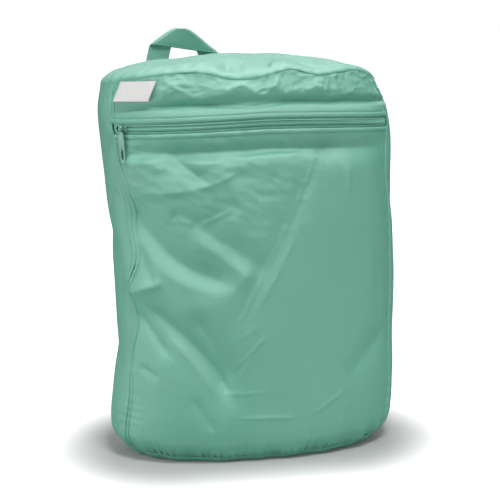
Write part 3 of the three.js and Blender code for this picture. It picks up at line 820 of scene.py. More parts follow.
class Nodes:
    """A short hand for building shader node trees."""

    def __init__(self, tree: Tree) -> None:
        """Takes the tree that nodes are added to."""
        self.tree = tree

    def add(self, kind: str, **settings: object) -> bpy.types.Node:
        """Adds a node.

        Args:
            kind: Its kind.
            settings: Its properties.

        Returns:
            The node.
        """
        node = self.tree.nodes.new(kind)
        for name, value in settings.items():
            setattr(node, name, value)
        return node

    def feed(self, target: Socket, value: object) -> None:
        """Links a value to an input if it is a socket, or else sets the input to it.

        Args:
            target: The input.
            value: The socket or plain value.
        """
        if isinstance(value, Socket):
            self.tree.links.new(value, target)
        else:
            target.default_value = value

    def fill(self, node: bpy.types.Node, values: dict[str, object]) -> bpy.types.Node:
        """Feeds several inputs of a node.

        Args:
            node: The node.
            values: The inputs' names, with what each is fed.

        Returns:
            The node.
        """
        for label, value in values.items():
            self.feed(node.inputs[label], value)
        return node

    def math(self, operation: str, *values: object) -> Socket:
        """Adds a math node.

        Args:
            operation: What it does.
            values: What its inputs are fed.

        Returns:
            Its result.
        """
        node = self.add("ShaderNodeMath", operation=operation)
        for socket, value in zip(node.inputs, values):
            self.feed(socket, value)
        return node.outputs[0]

    def split(self, vector: Socket) -> bpy.types.NodeOutputs:
        """Adds a node that separates a vector and returns its X, Y and Z."""
        return self.fill(self.add("ShaderNodeSeparateXYZ"), {"Vector": vector}).outputs

    def blend(self, share: object, start: object, end: object) -> Socket:
        """Adds a mix of two colours and returns its result."""
        node = self.add("ShaderNodeMix", data_type="RGBA")
        return self.fill(node, {"Factor": share, "A": start, "B": end}).outputs["Result"]

    def spread(self, value: object, low: float, high: float) -> Socket:
        """Adds a map of a value from 0..1 to low..high and returns its result."""
        node = self.add("ShaderNodeMapRange")
        return self.fill(node, {"Value": value, "To Min": low, "To Max": high}).outputs["Result"]

    def around(self, value: object, middle: float, reach: float) -> Socket:
        """Adds a map of a value from 0..1 to a reach on either side of a middle and returns its result."""
        return self.spread(value, middle - reach, middle + reach)

    def smooth(self, value: Socket, start: float, end: float, low: float = 0.0, high: float = 1.0) -> Socket:
        """Adds a smooth step of a value between start and end, from low to high.

        Args:
            value: The value.
            start: Where the step begins.
            end: Where it ends.
            low: The result up to the start.
            high: The result from the end on.

        Returns:
            The result.
        """
        node = self.add("ShaderNodeMapRange", interpolation_type="SMOOTHSTEP")
        self.fill(node, {"Value": value, "From Min": start, "From Max": end, "To Min": low, "To Max": high})
        return node.outputs["Result"]


def shader_group(name: str, inputs: dict[str, tuple[str, float]], outputs: Sequence[str]) -> tuple:
    """Makes an empty shader node group with named sockets.

    Args:
        name: The group's name.
        inputs: Each input's name, with its kind of socket and its first value.
        outputs: The names of the outputs, all plain values.

    Returns:
        The group, its Nodes, its input node and its output node.
    """
    group = bpy.data.node_groups.new(name, "ShaderNodeTree")
    for label, (kind, value) in inputs.items():
        socket = group.interface.new_socket(label, in_out="INPUT", socket_type=kind)
        if kind == "NodeSocketFloat":
            socket.default_value = value
    for label in outputs:
        group.interface.new_socket(label, in_out="OUTPUT", socket_type="NodeSocketFloat")
    nodes = Nodes(group)
    return group, nodes, nodes.add("NodeGroupInput"), nodes.add("NodeGroupOutput")


def weave_group() -> Tree:
    """Makes the group for threads that cross: two rows of waves, each raised where the other sinks.

    Returns:
        The group, with Place, Pitch and Slant in, and Height and GapShade, the painted shade between the
        threads, out.
    """
    inputs = {
        "Place": ("NodeSocketVector", 0),
        "Pitch": ("NodeSocketFloat", 0.0006),
        "Slant": ("NodeSocketFloat", 0.0),
    }
    group, nodes, into, out = shader_group("crossed_threads", inputs, ("Height", "GapShade"))
    parts = nodes.split(into.outputs["Place"])
    turns = nodes.math("DIVIDE", 2 * math.pi, into.outputs["Pitch"])
    leaned = nodes.math("MULTIPLY", parts["Y"], into.outputs["Slant"])
    warp = nodes.math("SINE", nodes.math("MULTIPLY", nodes.math("ADD", parts["X"], leaned), turns))
    weft = nodes.math("SINE", nodes.math("MULTIPLY", parts["Y"], turns))
    crossing = nodes.math("MULTIPLY", warp, weft)
    ridge = nodes.math("MAXIMUM", nodes.math("ABSOLUTE", warp), nodes.math("ABSOLUTE", weft))
    height = nodes.math("MULTIPLY_ADD", crossing, 0.5, 0.5)
    # GapShade is 1 where both threads sink: a mask for painted shade in the gaps between threads.
    nodes.fill(out, {"Height": height, "GapShade": nodes.math("SUBTRACT", 1.0, ridge)})
    return group


def mottle_group() -> Tree:
    """Makes the group for soft uneven colour: two sizes of noise, added up.

    Returns:
        The group, with Place and Scale in and Cloud and Speck out.
    """
    inputs = {"Place": ("NodeSocketVector", 0), "Scale": ("NodeSocketFloat", 12.0)}
    group, nodes, into, out = shader_group("soft_mottle", inputs, ("Cloud", "Speck"))
    for label, finer, detail in (("Cloud", 1.0, 3.0), ("Speck", 14.0, 2.0)):
        noise = nodes.fill(nodes.add("ShaderNodeTexNoise"), {
            "Vector": into.outputs["Place"],
            "Scale": nodes.math("MULTIPLY", into.outputs["Scale"], finer),
            "Detail": detail,
        })
        nodes.fill(out, {label: noise.outputs["Fac"]})
    return group


@dataclass(frozen=True)
class Palette:
    """The bag's colours, as linear red, green and blue."""

    cloth: tuple = (0.068, 0.312, 0.219)
    # The shaded mottle colours are the far end of painted shade in the thread gaps and of random mottled
    # tone.
    cloth_shaded_mottle: tuple = (0.066, 0.292, 0.202)
    tape: tuple = (0.110, 0.400, 0.290)
    coil: tuple = (0.170, 0.470, 0.360)
    hardware: tuple = (0.070, 0.245, 0.180)
    thread: tuple = (0.125, 0.370, 0.275)
    satin: tuple = (0.580, 0.580, 0.570)
    satin_shaded_mottle: tuple = (0.510, 0.510, 0.500)


def opaque(colour: tuple) -> tuple:
    """Returns the colour with its alpha."""
    return (*colour, 1.0)


def start_material(name: str) -> tuple[Material, Nodes, bpy.types.Node]:
    """Makes a plain material.

    Args:
        name: Its name.

    Returns:
        The material, its Nodes and its shader.
    """
    made = bpy.data.materials.new(name)
    made.use_nodes = True
    return made, Nodes(made.node_tree), made.node_tree.nodes["Principled BSDF"]


@dataclass(frozen=True)
class WovenFinish:
    """A woven or knitted cloth: crossed threads, painted shade in the gaps between them, soft mottling and
    sheen.
    """

    name: str
    colour: tuple
    gap_shade_and_mottle_colour: tuple
    pitch: float
    slant: float = 0.0
    relief: float = 0.00012
    roughness: float = 0.47
    ior: float = 1.6
    gloss: float = 1.0
    sheen: float = 0.08
    sheen_roughness: float = 0.5
    mottle: float = 14.0
    crinkle: float = 0.0
    gap_shade_share: float = 0.35
    deepness: float = 0.8
    patchiness: float = 0.06

    def material(self, weave: Tree, mottle: Tree) -> Material:
        """Builds the material.

        Args:
            weave: The group of crossed threads.
            mottle: The group of soft mottling.

        Returns:
            The material.
        """
        made, nodes, shader = start_material(self.name)
        place = nodes.add("ShaderNodeUVMap", uv_map="flat").outputs["UV"]
        threads = nodes.add("ShaderNodeGroup", node_tree=weave)
        nodes.fill(threads, {"Place": place, "Pitch": self.pitch, "Slant": self.slant})
        clouds = nodes.add("ShaderNodeGroup", node_tree=mottle)
        speck = nodes.fill(clouds, {"Place": place, "Scale": self.mottle}).outputs["Speck"]
        # The base colour darkens by painted shade in the gaps between threads, and by random mottled tone.
        uneven = nodes.math("MULTIPLY_ADD", threads.outputs["GapShade"], self.gap_shade_share, clouds.outputs["Cloud"])
        share = nodes.math("MULTIPLY", uneven, self.deepness)
        height = nodes.math("MULTIPLY", threads.outputs["Height"], self.relief)
        if self.crinkle:
            height = nodes.math("ADD", height, nodes.math("MULTIPLY", speck, self.crinkle))
        bump = nodes.fill(nodes.add("ShaderNodeBump"), {"Distance": 1.0, "Height": height})
        nodes.fill(shader, {
            "Base Color": nodes.blend(share, opaque(self.colour), opaque(self.gap_shade_and_mottle_colour)),
            "Roughness": nodes.around(speck, self.roughness, self.patchiness),
            "Normal": bump.outputs["Normal"],
            "IOR": self.ior,
            "Specular IOR Level": self.gloss,
            "Sheen Weight": self.sheen,
            "Sheen Roughness": self.sheen_roughness,
            "Sheen Tint": opaque((1.0, 1.0, 1.0)),
        })
        return made


@dataclass(frozen=True)
class EnamelFinish:
    """Paint on small metal, or moulded nylon: an even colour with faint specks."""

    name: str
    colour: tuple
    roughness: float = 0.35
    coat: float = 0.0
    grain: float = 0.00002
    mottle: float = 120.0
    deepness: float = 0.86
    patchiness: float = 0.08

    def material(self, mottle: Tree) -> Material:
        """Builds the material.

        Args:
            mottle: The group of soft mottling.

        Returns:
            The material.
        """
        made, nodes, shader = start_material(self.name)
        place = nodes.add("ShaderNodeTexCoord").outputs["Object"]
        clouds = nodes.add("ShaderNodeGroup", node_tree=mottle)
        speck = nodes.fill(clouds, {"Place": place, "Scale": self.mottle}).outputs["Speck"]
        deep = tuple(self.deepness * channel for channel in self.colour)
        lumps = nodes.math("MULTIPLY", speck, self.grain)
        bump = nodes.fill(nodes.add("ShaderNodeBump"), {"Distance": 1.0, "Height": lumps})
        nodes.fill(shader, {
            "Base Color": nodes.blend(clouds.outputs["Cloud"], opaque(self.colour), opaque(deep)),
            "Roughness": nodes.around(speck, self.roughness, self.patchiness),
            "Normal": bump.outputs["Normal"],
            "Coat Weight": self.coat,
        })
        return made


@dataclass(frozen=True)
class Wardrobe:
    """All the finishes of the bag, made once."""

    palette: Palette = Palette()

    @cached_property
    def weave(self) -> Tree:
        """The group of crossed threads."""
        return weave_group()

    @cached_property
    def mottle(self) -> Tree:
        """The group of soft mottling."""
        return mottle_group()

    @cached_property
    def cloth(self) -> Material:
        """The laminated cloth of the body, with a fine knit outside."""
        finish = WovenFinish(
            "laminated_knit", self.palette.cloth, self.palette.cloth_shaded_mottle, 0.0007, crinkle=0.00035,
        )
        return finish.material(self.weave, self.mottle)

    @cached_property
    def tape(self) -> Material:
        """The zip's slanted tape weave."""
        finish = WovenFinish(
            "slanted_tape", self.palette.tape, self.palette.tape, 0.0009, slant=1.0, relief=0.0002,
        )
        return finish.material(self.weave, self.mottle)

    @cached_property
    def thread(self) -> Material:
        """The sewing thread."""
        return EnamelFinish("sewing_thread", self.palette.thread, roughness=0.6).material(self.mottle)

    @cached_property
    def coil(self) -> Material:
        """The zip's nylon coil."""
        return EnamelFinish("nylon_coil", self.palette.coil, roughness=0.38).material(self.mottle)

    @cached_property
    def enamel(self) -> Material:
        """The painted slider and pull."""
        finish = EnamelFinish("green_enamel", self.palette.hardware, roughness=0.32, coat=0.2)
        return finish.material(self.mottle)

    @cached_property
    def satin(self) -> Material:
        """The label's white satin ribbon.

        Returns:
            The material.
        """
        finish = WovenFinish(
            "white_satin", self.palette.satin, self.palette.satin_shaded_mottle, 0.0005, slant=0.5,
            relief=0.00005, roughness=0.42, sheen=0.1,
        )
        return finish.material(self.weave, self.mottle)


def place_piece(
    name: str, shell: Shell, material: Material, slot: Slot, *nodes: str, body: Body = Body.BAG,
) -> None:
    """Makes an object of a closed shell, dresses it and hangs it on its body, hiding the CAD nodes that it
    replaces.

    Args:
        name: The piece's name.
        shell: Its shape, in millimetres.
        material: Its material.
        slot: The record's slot for its finish; not used.
        nodes: The CAD nodes that it replaces.
        body: The body that it rides on.
    """
    mesh = bpy.data.meshes.new(name)
    mesh.from_pydata((shell.points * MM).tolist(), [], shell.faces)
    layer = mesh.uv_layers.new(name="flat")
    corner_points = np.empty(len(mesh.loops), dtype=np.int32)
    mesh.loops.foreach_get("vertex_index", corner_points)
    layer.data.foreach_set("uv", (shell.flat * MM)[corner_points].ravel())
    mesh.polygons.foreach_set("use_smooth", np.ones(len(mesh.polygons), dtype=bool))
    mesh.set_sharp_from_angle(angle=SHARP_EDGE * DEGREE)
    mesh.materials.append(material)
    mesh.update()
    made = bpy.data.objects.new(name, mesh)
    bpy.context.scene.collection.objects.link(made)
    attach(made, body.value)
    if nodes:
        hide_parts(*nodes)
    log.info("%s: %d points, %d faces", name, len(mesh.vertices), len(mesh.polygons))


class Spot(NamedTuple):
    """Places on a panel: angles, heights, and millimetres from its four edges.

    A panel starts at its left edge and ends at its right one, seen from outside.
    """

    around: Array
    up: Array
    left: Array
    right: Array
    under: Array
    over: Array


@dataclass(frozen=True)
class ClothBody:
    """The sewn cloth: front, band above the zip, sides and back, domed top and base."""

    form: BagForm
    front_columns: int = 230
    front_rows: int = 205
    band_rows: int = 60
    back_columns: int = 260
    back_rows: int = 150
    top_columns: int = 360
    top_rows: int = 70
    base_rows: int = 8
    crowding: float = 0.55
    seam_dip: float = 0.7
    seam_roll: float = 1.3
    top_dip: float = 0.08
    seam_space: float = 0.06
    welt_width: float = 4.5
    welt_rise: float = 0.7
    welt_edge: float = 1.2
    welt_groove: float = 0.6
    pucker: float = 0.55
    pucker_reach: float = 9
    pucker_pitch: float = 12
    crumple_rise: float = 1.0
    scallop_pitch: float = 9
    scallop_depth: float = 4.0
    scallop_reach: float = 8.0
    foot_tuck: float = 4.5
    foot_roll: float = 10.0
    hem_width: float = 5.5
    hem_rise: float = 0.7
    hem_edge: float = 1.6
    hem_groove: float = 0.5
    hem_wave: float = 0.22
    hem_round: float = 0.9
    roll_slope: float = 0.30
    roll_height: float = 4.2
    roll_from: float = 46
    roll_fade: float = 8
    roll_power: float = 1.2
    roll_lumps: float = 0.35
    gully_depth: float = 2.0
    gully_width: float = 2.6
    gully_from: float = 22
    gully_fade: float = 12
    overhang_to: float = 174
    overhang_fade: float = 18
    unevenness: float = 0.5
    small_share: float = 0.35
    streak_share: float = 0.45
    crumple_share: float = 1.1
    top_gather_rise: float = 1.1
    top_gather_pitch: float = 15
    top_gather_reach: float = 14
    top_swell: float = 0.8
    top_crinkle: float = 0.6
    crease_fade: float = 0.3

    def seam_relief(self, distance: Array, travel: Array, seed: int, dip: float) -> Array:
        """Returns the dip of the cloth into a seam, and the puckers beside it.

        The dip is a bell of the distance, and the puckers are waves along the seam that fade with it.

        Args:
            distance: Millimetres from the seam.
            travel: Millimetres along the seam.
            seed: The seed of the puckers' unevenness.
            dip: The seam's depth.

        Returns:
            The height, below zero in the seam.
        """
        uneven = Ripple(seed).at(travel / 31 + 7, distance * 0 + 3)
        waves = np.sin(2 * np.pi * travel / self.pucker_pitch + 5 * uneven)
        strength = 0.6 + 0.6 * Ripple(seed + 1).at(travel / 23, distance * 0 + 9)
        fade = np.exp(-distance / self.pucker_reach)
        return self.pucker * waves * strength * fade - dip * bell(distance, self.seam_roll)

    def side_seam(self, distance: Array, travel: Array, seed: int) -> Array:
        """Returns the relief beside a side seam: its dip and puckers, and the folded seam under the cloth.

        Args:
            distance: Millimetres from the seam.
            travel: Millimetres along it.
            seed: The seed of the puckers' unevenness.

        Returns:
            The height.
        """
        raised = ease((self.welt_width - distance) / self.welt_edge) * self.welt_rise
        groove = -self.welt_groove * bell(distance - self.welt_width - 0.3, 0.8)
        return self.seam_relief(distance, travel, seed, self.seam_dip) + raised + groove

    def top_seam(self, distance: Array, around: Array) -> Array:
        """Returns the relief beside the top seam, a distance from it."""
        return self.seam_relief(distance, self.form.girth(around), 55, self.top_dip)

    def foot_relief(self, under: Array, around: Array) -> Array:
        """Returns the relief above the base: puckers, short cuts between scallops, and the tuck under it.

        The tuck is a quarter circle of uneven radius, and the cuts are the low places of a sine's size.

        Args:
            under: Millimetres above the base seam.
            around: Angles.

        Returns:
            The height.
        """
        travel = self.form.girth(around)
        rolled = self.foot_roll * (1 + 0.5 * Ripple(48).at(travel / 15, under * 0))
        turned = np.clip(1 - under / rolled, 0, 1)
        tuck = -self.foot_tuck * (1 - np.sqrt(1 - turned**2))
        shift = 3 * Ripple(46).at(travel / 24, under * 0)
        scallops = np.abs(np.sin(np.pi * travel / self.scallop_pitch + shift))
        depth = 0.6 + 0.6 * Ripple(47).at(travel / 19, under * 0)
        fading = np.exp(-under / self.scallop_reach) * ease(under / 2)
        cut = -self.scallop_depth * depth * (1 - scallops) ** 2 * fading
        return self.seam_relief(under, travel, 45, 0.0) + cut + tuck

    def unevenness_at(self, around: Array, up: Array) -> Array:
        """Returns slight waves all over the wall.

        They are smooth noise in two sizes, upright streaks, and finer crumples under the zip.

        Args:
            around: Angles.
            up: Heights.

        Returns:
            The height.
        """
        right = self.form.girth(around)
        higher = up * self.form.wall_rise
        broad = Ripple(11).at(right / 46 + higher / 90, higher / 60)
        small = Ripple(12).at(right / 17, higher / 21 + right / 60)
        streaks = Ripple(13).at(right / 11, higher / 95)
        crumpled = ease((up - 0.50) / 0.2) * ease((118 - around) / 20) * ease((around - 26) / 6)
        crumples = Ripple(14).at(right / 8 + higher / 14, higher / 6) * crumpled
        uneven = broad + self.small_share * small + self.streak_share * streaks
        return self.unevenness * (uneven + self.crumple_share * crumples)

    def overhang(self, around: Array, up: Array) -> Array:
        """Returns the gathered roll under the top seam and the gully beneath it.

        From the bottom of the gully the cloth rises at an even slope to the roll's ragged lower edge, and
        from there it eases back to the seam. Below the gully's bottom it comes out again within a few
        millimetres. The roll is uneven from smooth noise, and both fade out at the bag's ends.

        Args:
            around: Angles.
            up: Heights.

        Returns:
            The height.
        """
        form = self.form
        bottom = read_track(GATHERED_ROLL, "around", "gully", around)
        edge = read_track(GATHERED_ROLL, "around", "roll", around)
        climbed = (up - bottom) * form.wall_rise
        span = np.maximum((edge - bottom) * form.wall_rise, 1)
        room = np.maximum((form.top_edge(around) - bottom) * form.wall_rise - span, 2)
        height = np.minimum(self.roll_slope * span, self.roll_height)
        height = height * ease((around - self.roll_from) / self.roll_fade)
        lumps = 0.8 + self.roll_lumps * Ripple(23).at(around / 3.1, climbed / 7)
        rising = height * np.clip(climbed / span, 0, 1) ** self.roll_power
        falling = height * (1 - ease((climbed - span) / room)) * mix(1, lumps, ease((climbed - span) / 3))
        roll = np.where(climbed < span, rising, falling)
        gully = -self.gully_depth * bell(climbed, self.gully_width)
        gully = gully * ease((around - self.gully_from) / self.gully_fade)
        return (roll + gully) * ease((self.overhang_to - around) / self.overhang_fade)

    def crumples(self, around: Array, up: Array) -> Array:
        """Returns small sharp creases over the gathered roll: ridged noise on slanting places.

        Ridged noise is 1 less the size of smooth noise, so that it has sharp crests.

        Args:
            around: Angles.
            up: Heights.

        Returns:
            The height.
        """
        right = self.form.girth(around)
        higher = up * self.form.wall_rise
        leaning = 1 - np.abs(Ripple(71).at(right / 15 + higher / 22, higher / 9 - right / 40))
        finer = 1 - np.abs(Ripple(72).at(right / 9 - higher / 14, higher / 7))
        gathered = ease((up - 0.952) / 0.02) * ease((around - self.roll_from) / 6)
        return self.crumple_rise * (leaning**2 + 0.6 * finer**2 - 0.9) * gathered

    def flat_places(self, around: Array, up: Array) -> Array:
        """Returns the flat places of the wall's cloth: its length round and its height."""
        return np.stack([self.form.girth(around), up * self.form.wall_rise], -1)

    def wall_sheet(
        self, station: Callable[[Array, Array], Array], low: Edge, high: Edge,
        columns: int, rows: int, relief: Callable[[Spot], Array],
    ) -> Shell:
        """Makes one panel of the wall between two heights and two seams.

        Args:
            station: Gives the angle of a share across at a height.
            low: The panel's lower edge at these angles.
            high: Its upper edge.
            columns: How many steps there are across.
            rows: How many there are up.
            relief: Gives the fine relief at places on the panel.

        Returns:
            The panel, a closed sheet of the cloth's thickness.
        """
        form = self.form
        u = crowded(columns, self.crowding)[None, :]
        v = crowded(rows, self.crowding)[:, None]
        level = mix(low(np.array(form.left_seam)), high(np.array(form.left_seam)), v)
        around = station(u, level)
        trim = form.length_to_turn(self.seam_space / 2, around, level)
        around = around + np.where(u == 0, trim, 0) - np.where(u == 1, trim, 0)
        up = mix(low(around), high(around), v)
        first, last = station(0 * u, up), station(0 * u + 1, up)
        left = form.girth(around) - form.girth(first)
        right = form.girth(last) - form.girth(around)
        under = (up - low(around)) * form.wall_rise
        over = (high(around) - up) * form.wall_rise
        fine = relief(Spot(around, up, left, right, under, over))
        outer = form.wall_point(around, up, -fine)
        inner = form.wall_point(around, up, form.thickness - fine)
        return closed_sheet(outer, inner, self.flat_places(around, up))

    def front_station(self, share: Array, up: Array) -> Array:
        """Returns the angle a share of the way from the left side seam to the right one."""
        return mix(self.form.left_seam_at(up), self.form.right_seam, share)

    def back_station(self, share: Array, up: Array) -> Array:
        """Returns the angle a share of the way from the right side seam round the back to the left one."""
        return mix(self.form.right_seam, 360 + self.form.left_seam_at(up), share)

    def foot_edge(self, around: Array) -> Array:
        """Returns the lower edge of the wall's panels."""
        return around * 0 + self.seam_space / self.form.wall_rise

    def shoulder_edge(self, around: Array) -> Array:
        """Returns the upper edge of the wall's panels."""
        return self.form.top_edge(around) - self.seam_space / self.form.wall_rise

    def window_bottom(self, around: Array) -> Array:
        """Returns the lower edge of the zip window."""
        return self.form.zip_level(around) - self.form.window_half

    def window_top(self, around: Array) -> Array:
        """Returns the upper edge of the zip window."""
        return self.form.zip_level(around) + self.form.window_half

    def hem(self, distance: Array, around: Array) -> Array:
        """Returns the relief of a turned hem: raised up to its stitching, rounded at its edge.

        Args:
            distance: Millimetres from the edge.
            around: Angles.

        Returns:
            The height.
        """
        raised = self.hem_rise * ease((self.hem_width - distance) / self.hem_edge)
        groove = -self.hem_groove * bell(distance - self.hem_width + 0.6, 0.7)
        fading = ease((2 * self.hem_width - distance) / 4)
        wave = self.hem_wave * Ripple(31).at(around / 2.3, distance * 0) * fading
        return raised + groove + wave - self.hem_round * bell(distance, 0.8)

    def seams(self, spot: Spot, left_seed: int, right_seed: int) -> Array:
        """Returns the relief beside both side seams, whose puckers have these seeds."""
        left = self.side_seam(spot.left, spot.under, left_seed)
        return left + self.side_seam(spot.right, spot.under, right_seed)

    def lower_relief(self, spot: Spot, left_seed: int, right_seed: int) -> Array:
        """Returns the relief of a panel that stands on the base: folds, unevenness, seams and foot."""
        relief = self.form.folds(spot.around, spot.up, FINE_FOLDS) + self.unevenness_at(spot.around, spot.up)
        return relief + self.seams(spot, left_seed, right_seed) + self.foot_relief(spot.under, spot.around)

    def upper_relief(self, spot: Spot) -> Array:
        """Returns the relief of a panel that ends at the top seam: the gathered roll and the seam."""
        return self.overhang(spot.around, spot.up) + self.top_seam(spot.over, spot.around)

    def front_relief(self, spot: Spot) -> Array:
        """Returns the front panel's fine relief, with the zip hem above."""
        return self.lower_relief(spot, 41, 43) + self.hem(spot.over, spot.around)

    def band_relief(self, spot: Spot) -> Array:
        """Returns the fine relief of the band above the zip, with its crumples and the zip hem below."""
        relief = self.upper_relief(spot) + self.crumples(spot.around, spot.up)
        return relief + self.hem(spot.under, spot.around) + self.seams(spot, 51, 53)

    def back_relief(self, spot: Spot) -> Array:
        """Returns the fine relief of the sides and back, with the end of the gathered roll."""
        return self.lower_relief(spot, 43, 41) + self.upper_relief(spot)

    def top_surface(self, around: Array, share: Array, inward: float) -> Array:
        """Returns points of the domed top.

        The seam's ring shrinks with the share of the radius while the height climbs on a rounded
        profile. Dents are bells of the distance from their middles, creases bells of the distance from
        a line, and gathers are waves that fade away from the seam.

        Args:
            around: Angles.
            share: Shares of the radius.
            inward: A distance into the cloth.

        Returns:
            The points.
        """
        form = self.form
        seam = form.seam_point(around)
        reach = np.hypot(seam[..., 0], seam[..., 1])
        inset = 1 - inward / reach
        profile = np.sqrt(np.maximum(1 - share**form.dome_roundness, 0))
        flat = seam[..., :2] * share[..., None]
        relief = 0 * share
        for dent in TOP_DENTS:
            away = np.linalg.norm(flat - form.seam_point(dent.around)[:2] * dent.out, axis=-1)
            relief = relief + form.fold_depth * dent.rise * bell(away, form.fold_width * dent.size)
        for crease in TOP_CREASES:
            start = form.seam_point(crease.around)[:2] * crease.out
            run = form.seam_point(crease.to_around)[:2] * crease.to_out - start
            along = ((flat - start) @ run) / (run @ run)
            aside = ((flat - start) @ np.array([-run[1], run[0]])) / np.linalg.norm(run)
            taper = ease(along / self.crease_fade) * ease((1 - along) / self.crease_fade)
            relief = relief + crease.rise * taper * bell(aside, crease.width)
        travel = form.girth(around)
        distance = (1 - share) * reach
        puckers = self.seam_relief(distance, travel, 55, self.top_dip)
        flat = flat * (1 + puckers / reach)[..., None]
        shift = 4 * Ripple(61).at(travel / 40, travel * 0)
        waves = np.sin(2 * np.pi * travel / self.top_gather_pitch + shift)
        strength = 0.7 + 0.5 * Ripple(62).at(travel / 30, travel * 0)
        relief += self.top_gather_rise * waves * np.exp(-distance / self.top_gather_reach) * strength
        x, y = flat[..., 0], flat[..., 1]
        relief += self.top_swell * Ripple(63).at(x / 28, y / 22)
        relief += self.top_crinkle * Ripple(64).at(x / 9 + y / 13, y / 8)
        relief = relief * np.minimum(profile * 2, 1)
        crown = form.shoulder + form.dome_rise
        rise = crown - inward - seam[..., 2]
        height = seam[..., 2] + rise * profile + relief
        return np.concatenate([flat * inset[..., None], height[..., None]], -1)

    def base_surface(self, around: Array, share: Array, inward: float) -> Array:
        """Returns points of the base: flat in the middle and lifting to the seam with the wall.

        Args:
            around: Angles.
            share: Shares of the radius.
            inward: A distance into the cloth.

        Returns:
            The points.
        """
        form = self.form
        seam = form.smooth_wall(around, 0.0)
        away = form.wall_normal(around, 0.0) * np.array([1, 1, 0])
        seam = seam + unit(away) * form.main_relief(around, 0.0 * around)[..., None]
        lift = np.maximum((share - form.base_flat) / (1 - form.base_flat), 0) ** 1.5
        height = seam[..., 2] * lift + inward
        reach = np.hypot(seam[..., 0], seam[..., 1])
        drawn_in = share * (1 - self.foot_tuck * lift / reach)
        return np.concatenate([seam[..., :2] * drawn_in[..., None], height[..., None]], -1)

    def disc(self, surface: Callable[[Array, Array, float], Array], shares: Array) -> Shell:
        """Makes a round panel: its outer face out to the seam, and its inner face back.

        Args:
            surface: Gives points for angles, shares of the radius and a distance inward.
            shares: The shares of its rings.

        Returns:
            The panel.
        """
        turns = np.linspace(0, 360, self.top_columns, endpoint=False)[None, :]
        around, share = np.broadcast_arrays(turns, shares[:, None])
        outer = surface(around, share, 0.0)
        inner = surface(around, share, self.form.thickness)
        return ring_loft(np.concatenate([outer, inner[::-1]]), False)

    def build(self, wardrobe: Wardrobe) -> None:
        """Builds and dresses the five panels.

        Args:
            wardrobe: The materials.
        """
        front = self.wall_sheet(
            self.front_station, self.foot_edge, self.window_bottom,
            self.front_columns, self.front_rows, self.front_relief,
        )
        place_piece("front_cloth", front, wardrobe.cloth, Slot.BODY, "front_panel")
        band = self.wall_sheet(
            self.front_station, self.window_top, self.shoulder_edge,
            self.front_columns, self.band_rows, self.band_relief,
        )
        place_piece("band_cloth", band, wardrobe.cloth, Slot.TOP, "zip_band")
        back = self.wall_sheet(
            self.back_station, self.foot_edge, self.shoulder_edge,
            self.back_columns, self.back_rows, self.back_relief,
        )
        place_piece("side_back_cloth", back, wardrobe.cloth, Slot.BODY, "side_back_panel")
        top = self.disc(self.top_surface, np.sin(np.linspace(0, 1, self.top_rows + 1)[1:] * np.pi / 2))
        place_piece("top_cloth", top, wardrobe.cloth, Slot.TOP, "top_panel")
        flat = self.form.base_flat
        lifting = mix(flat, 1, np.linspace(0, 1, self.base_rows + 1)[1:])
        base = self.disc(self.base_surface, np.concatenate([[0.5, flat], lifting]))
        place_piece("base_cloth", base, wardrobe.cloth, Slot.BODY, "base_panel")


@dataclass(frozen=True)
class ZipPlace:
    """A place on the zip: X runs along it to the right, Y up the wall and Z out of it."""

    origin: Array
    axes: Array

    def put(self, points: Array) -> Array:
        """Carries points from this place to the bag."""
        return self.origin + points @ self.axes


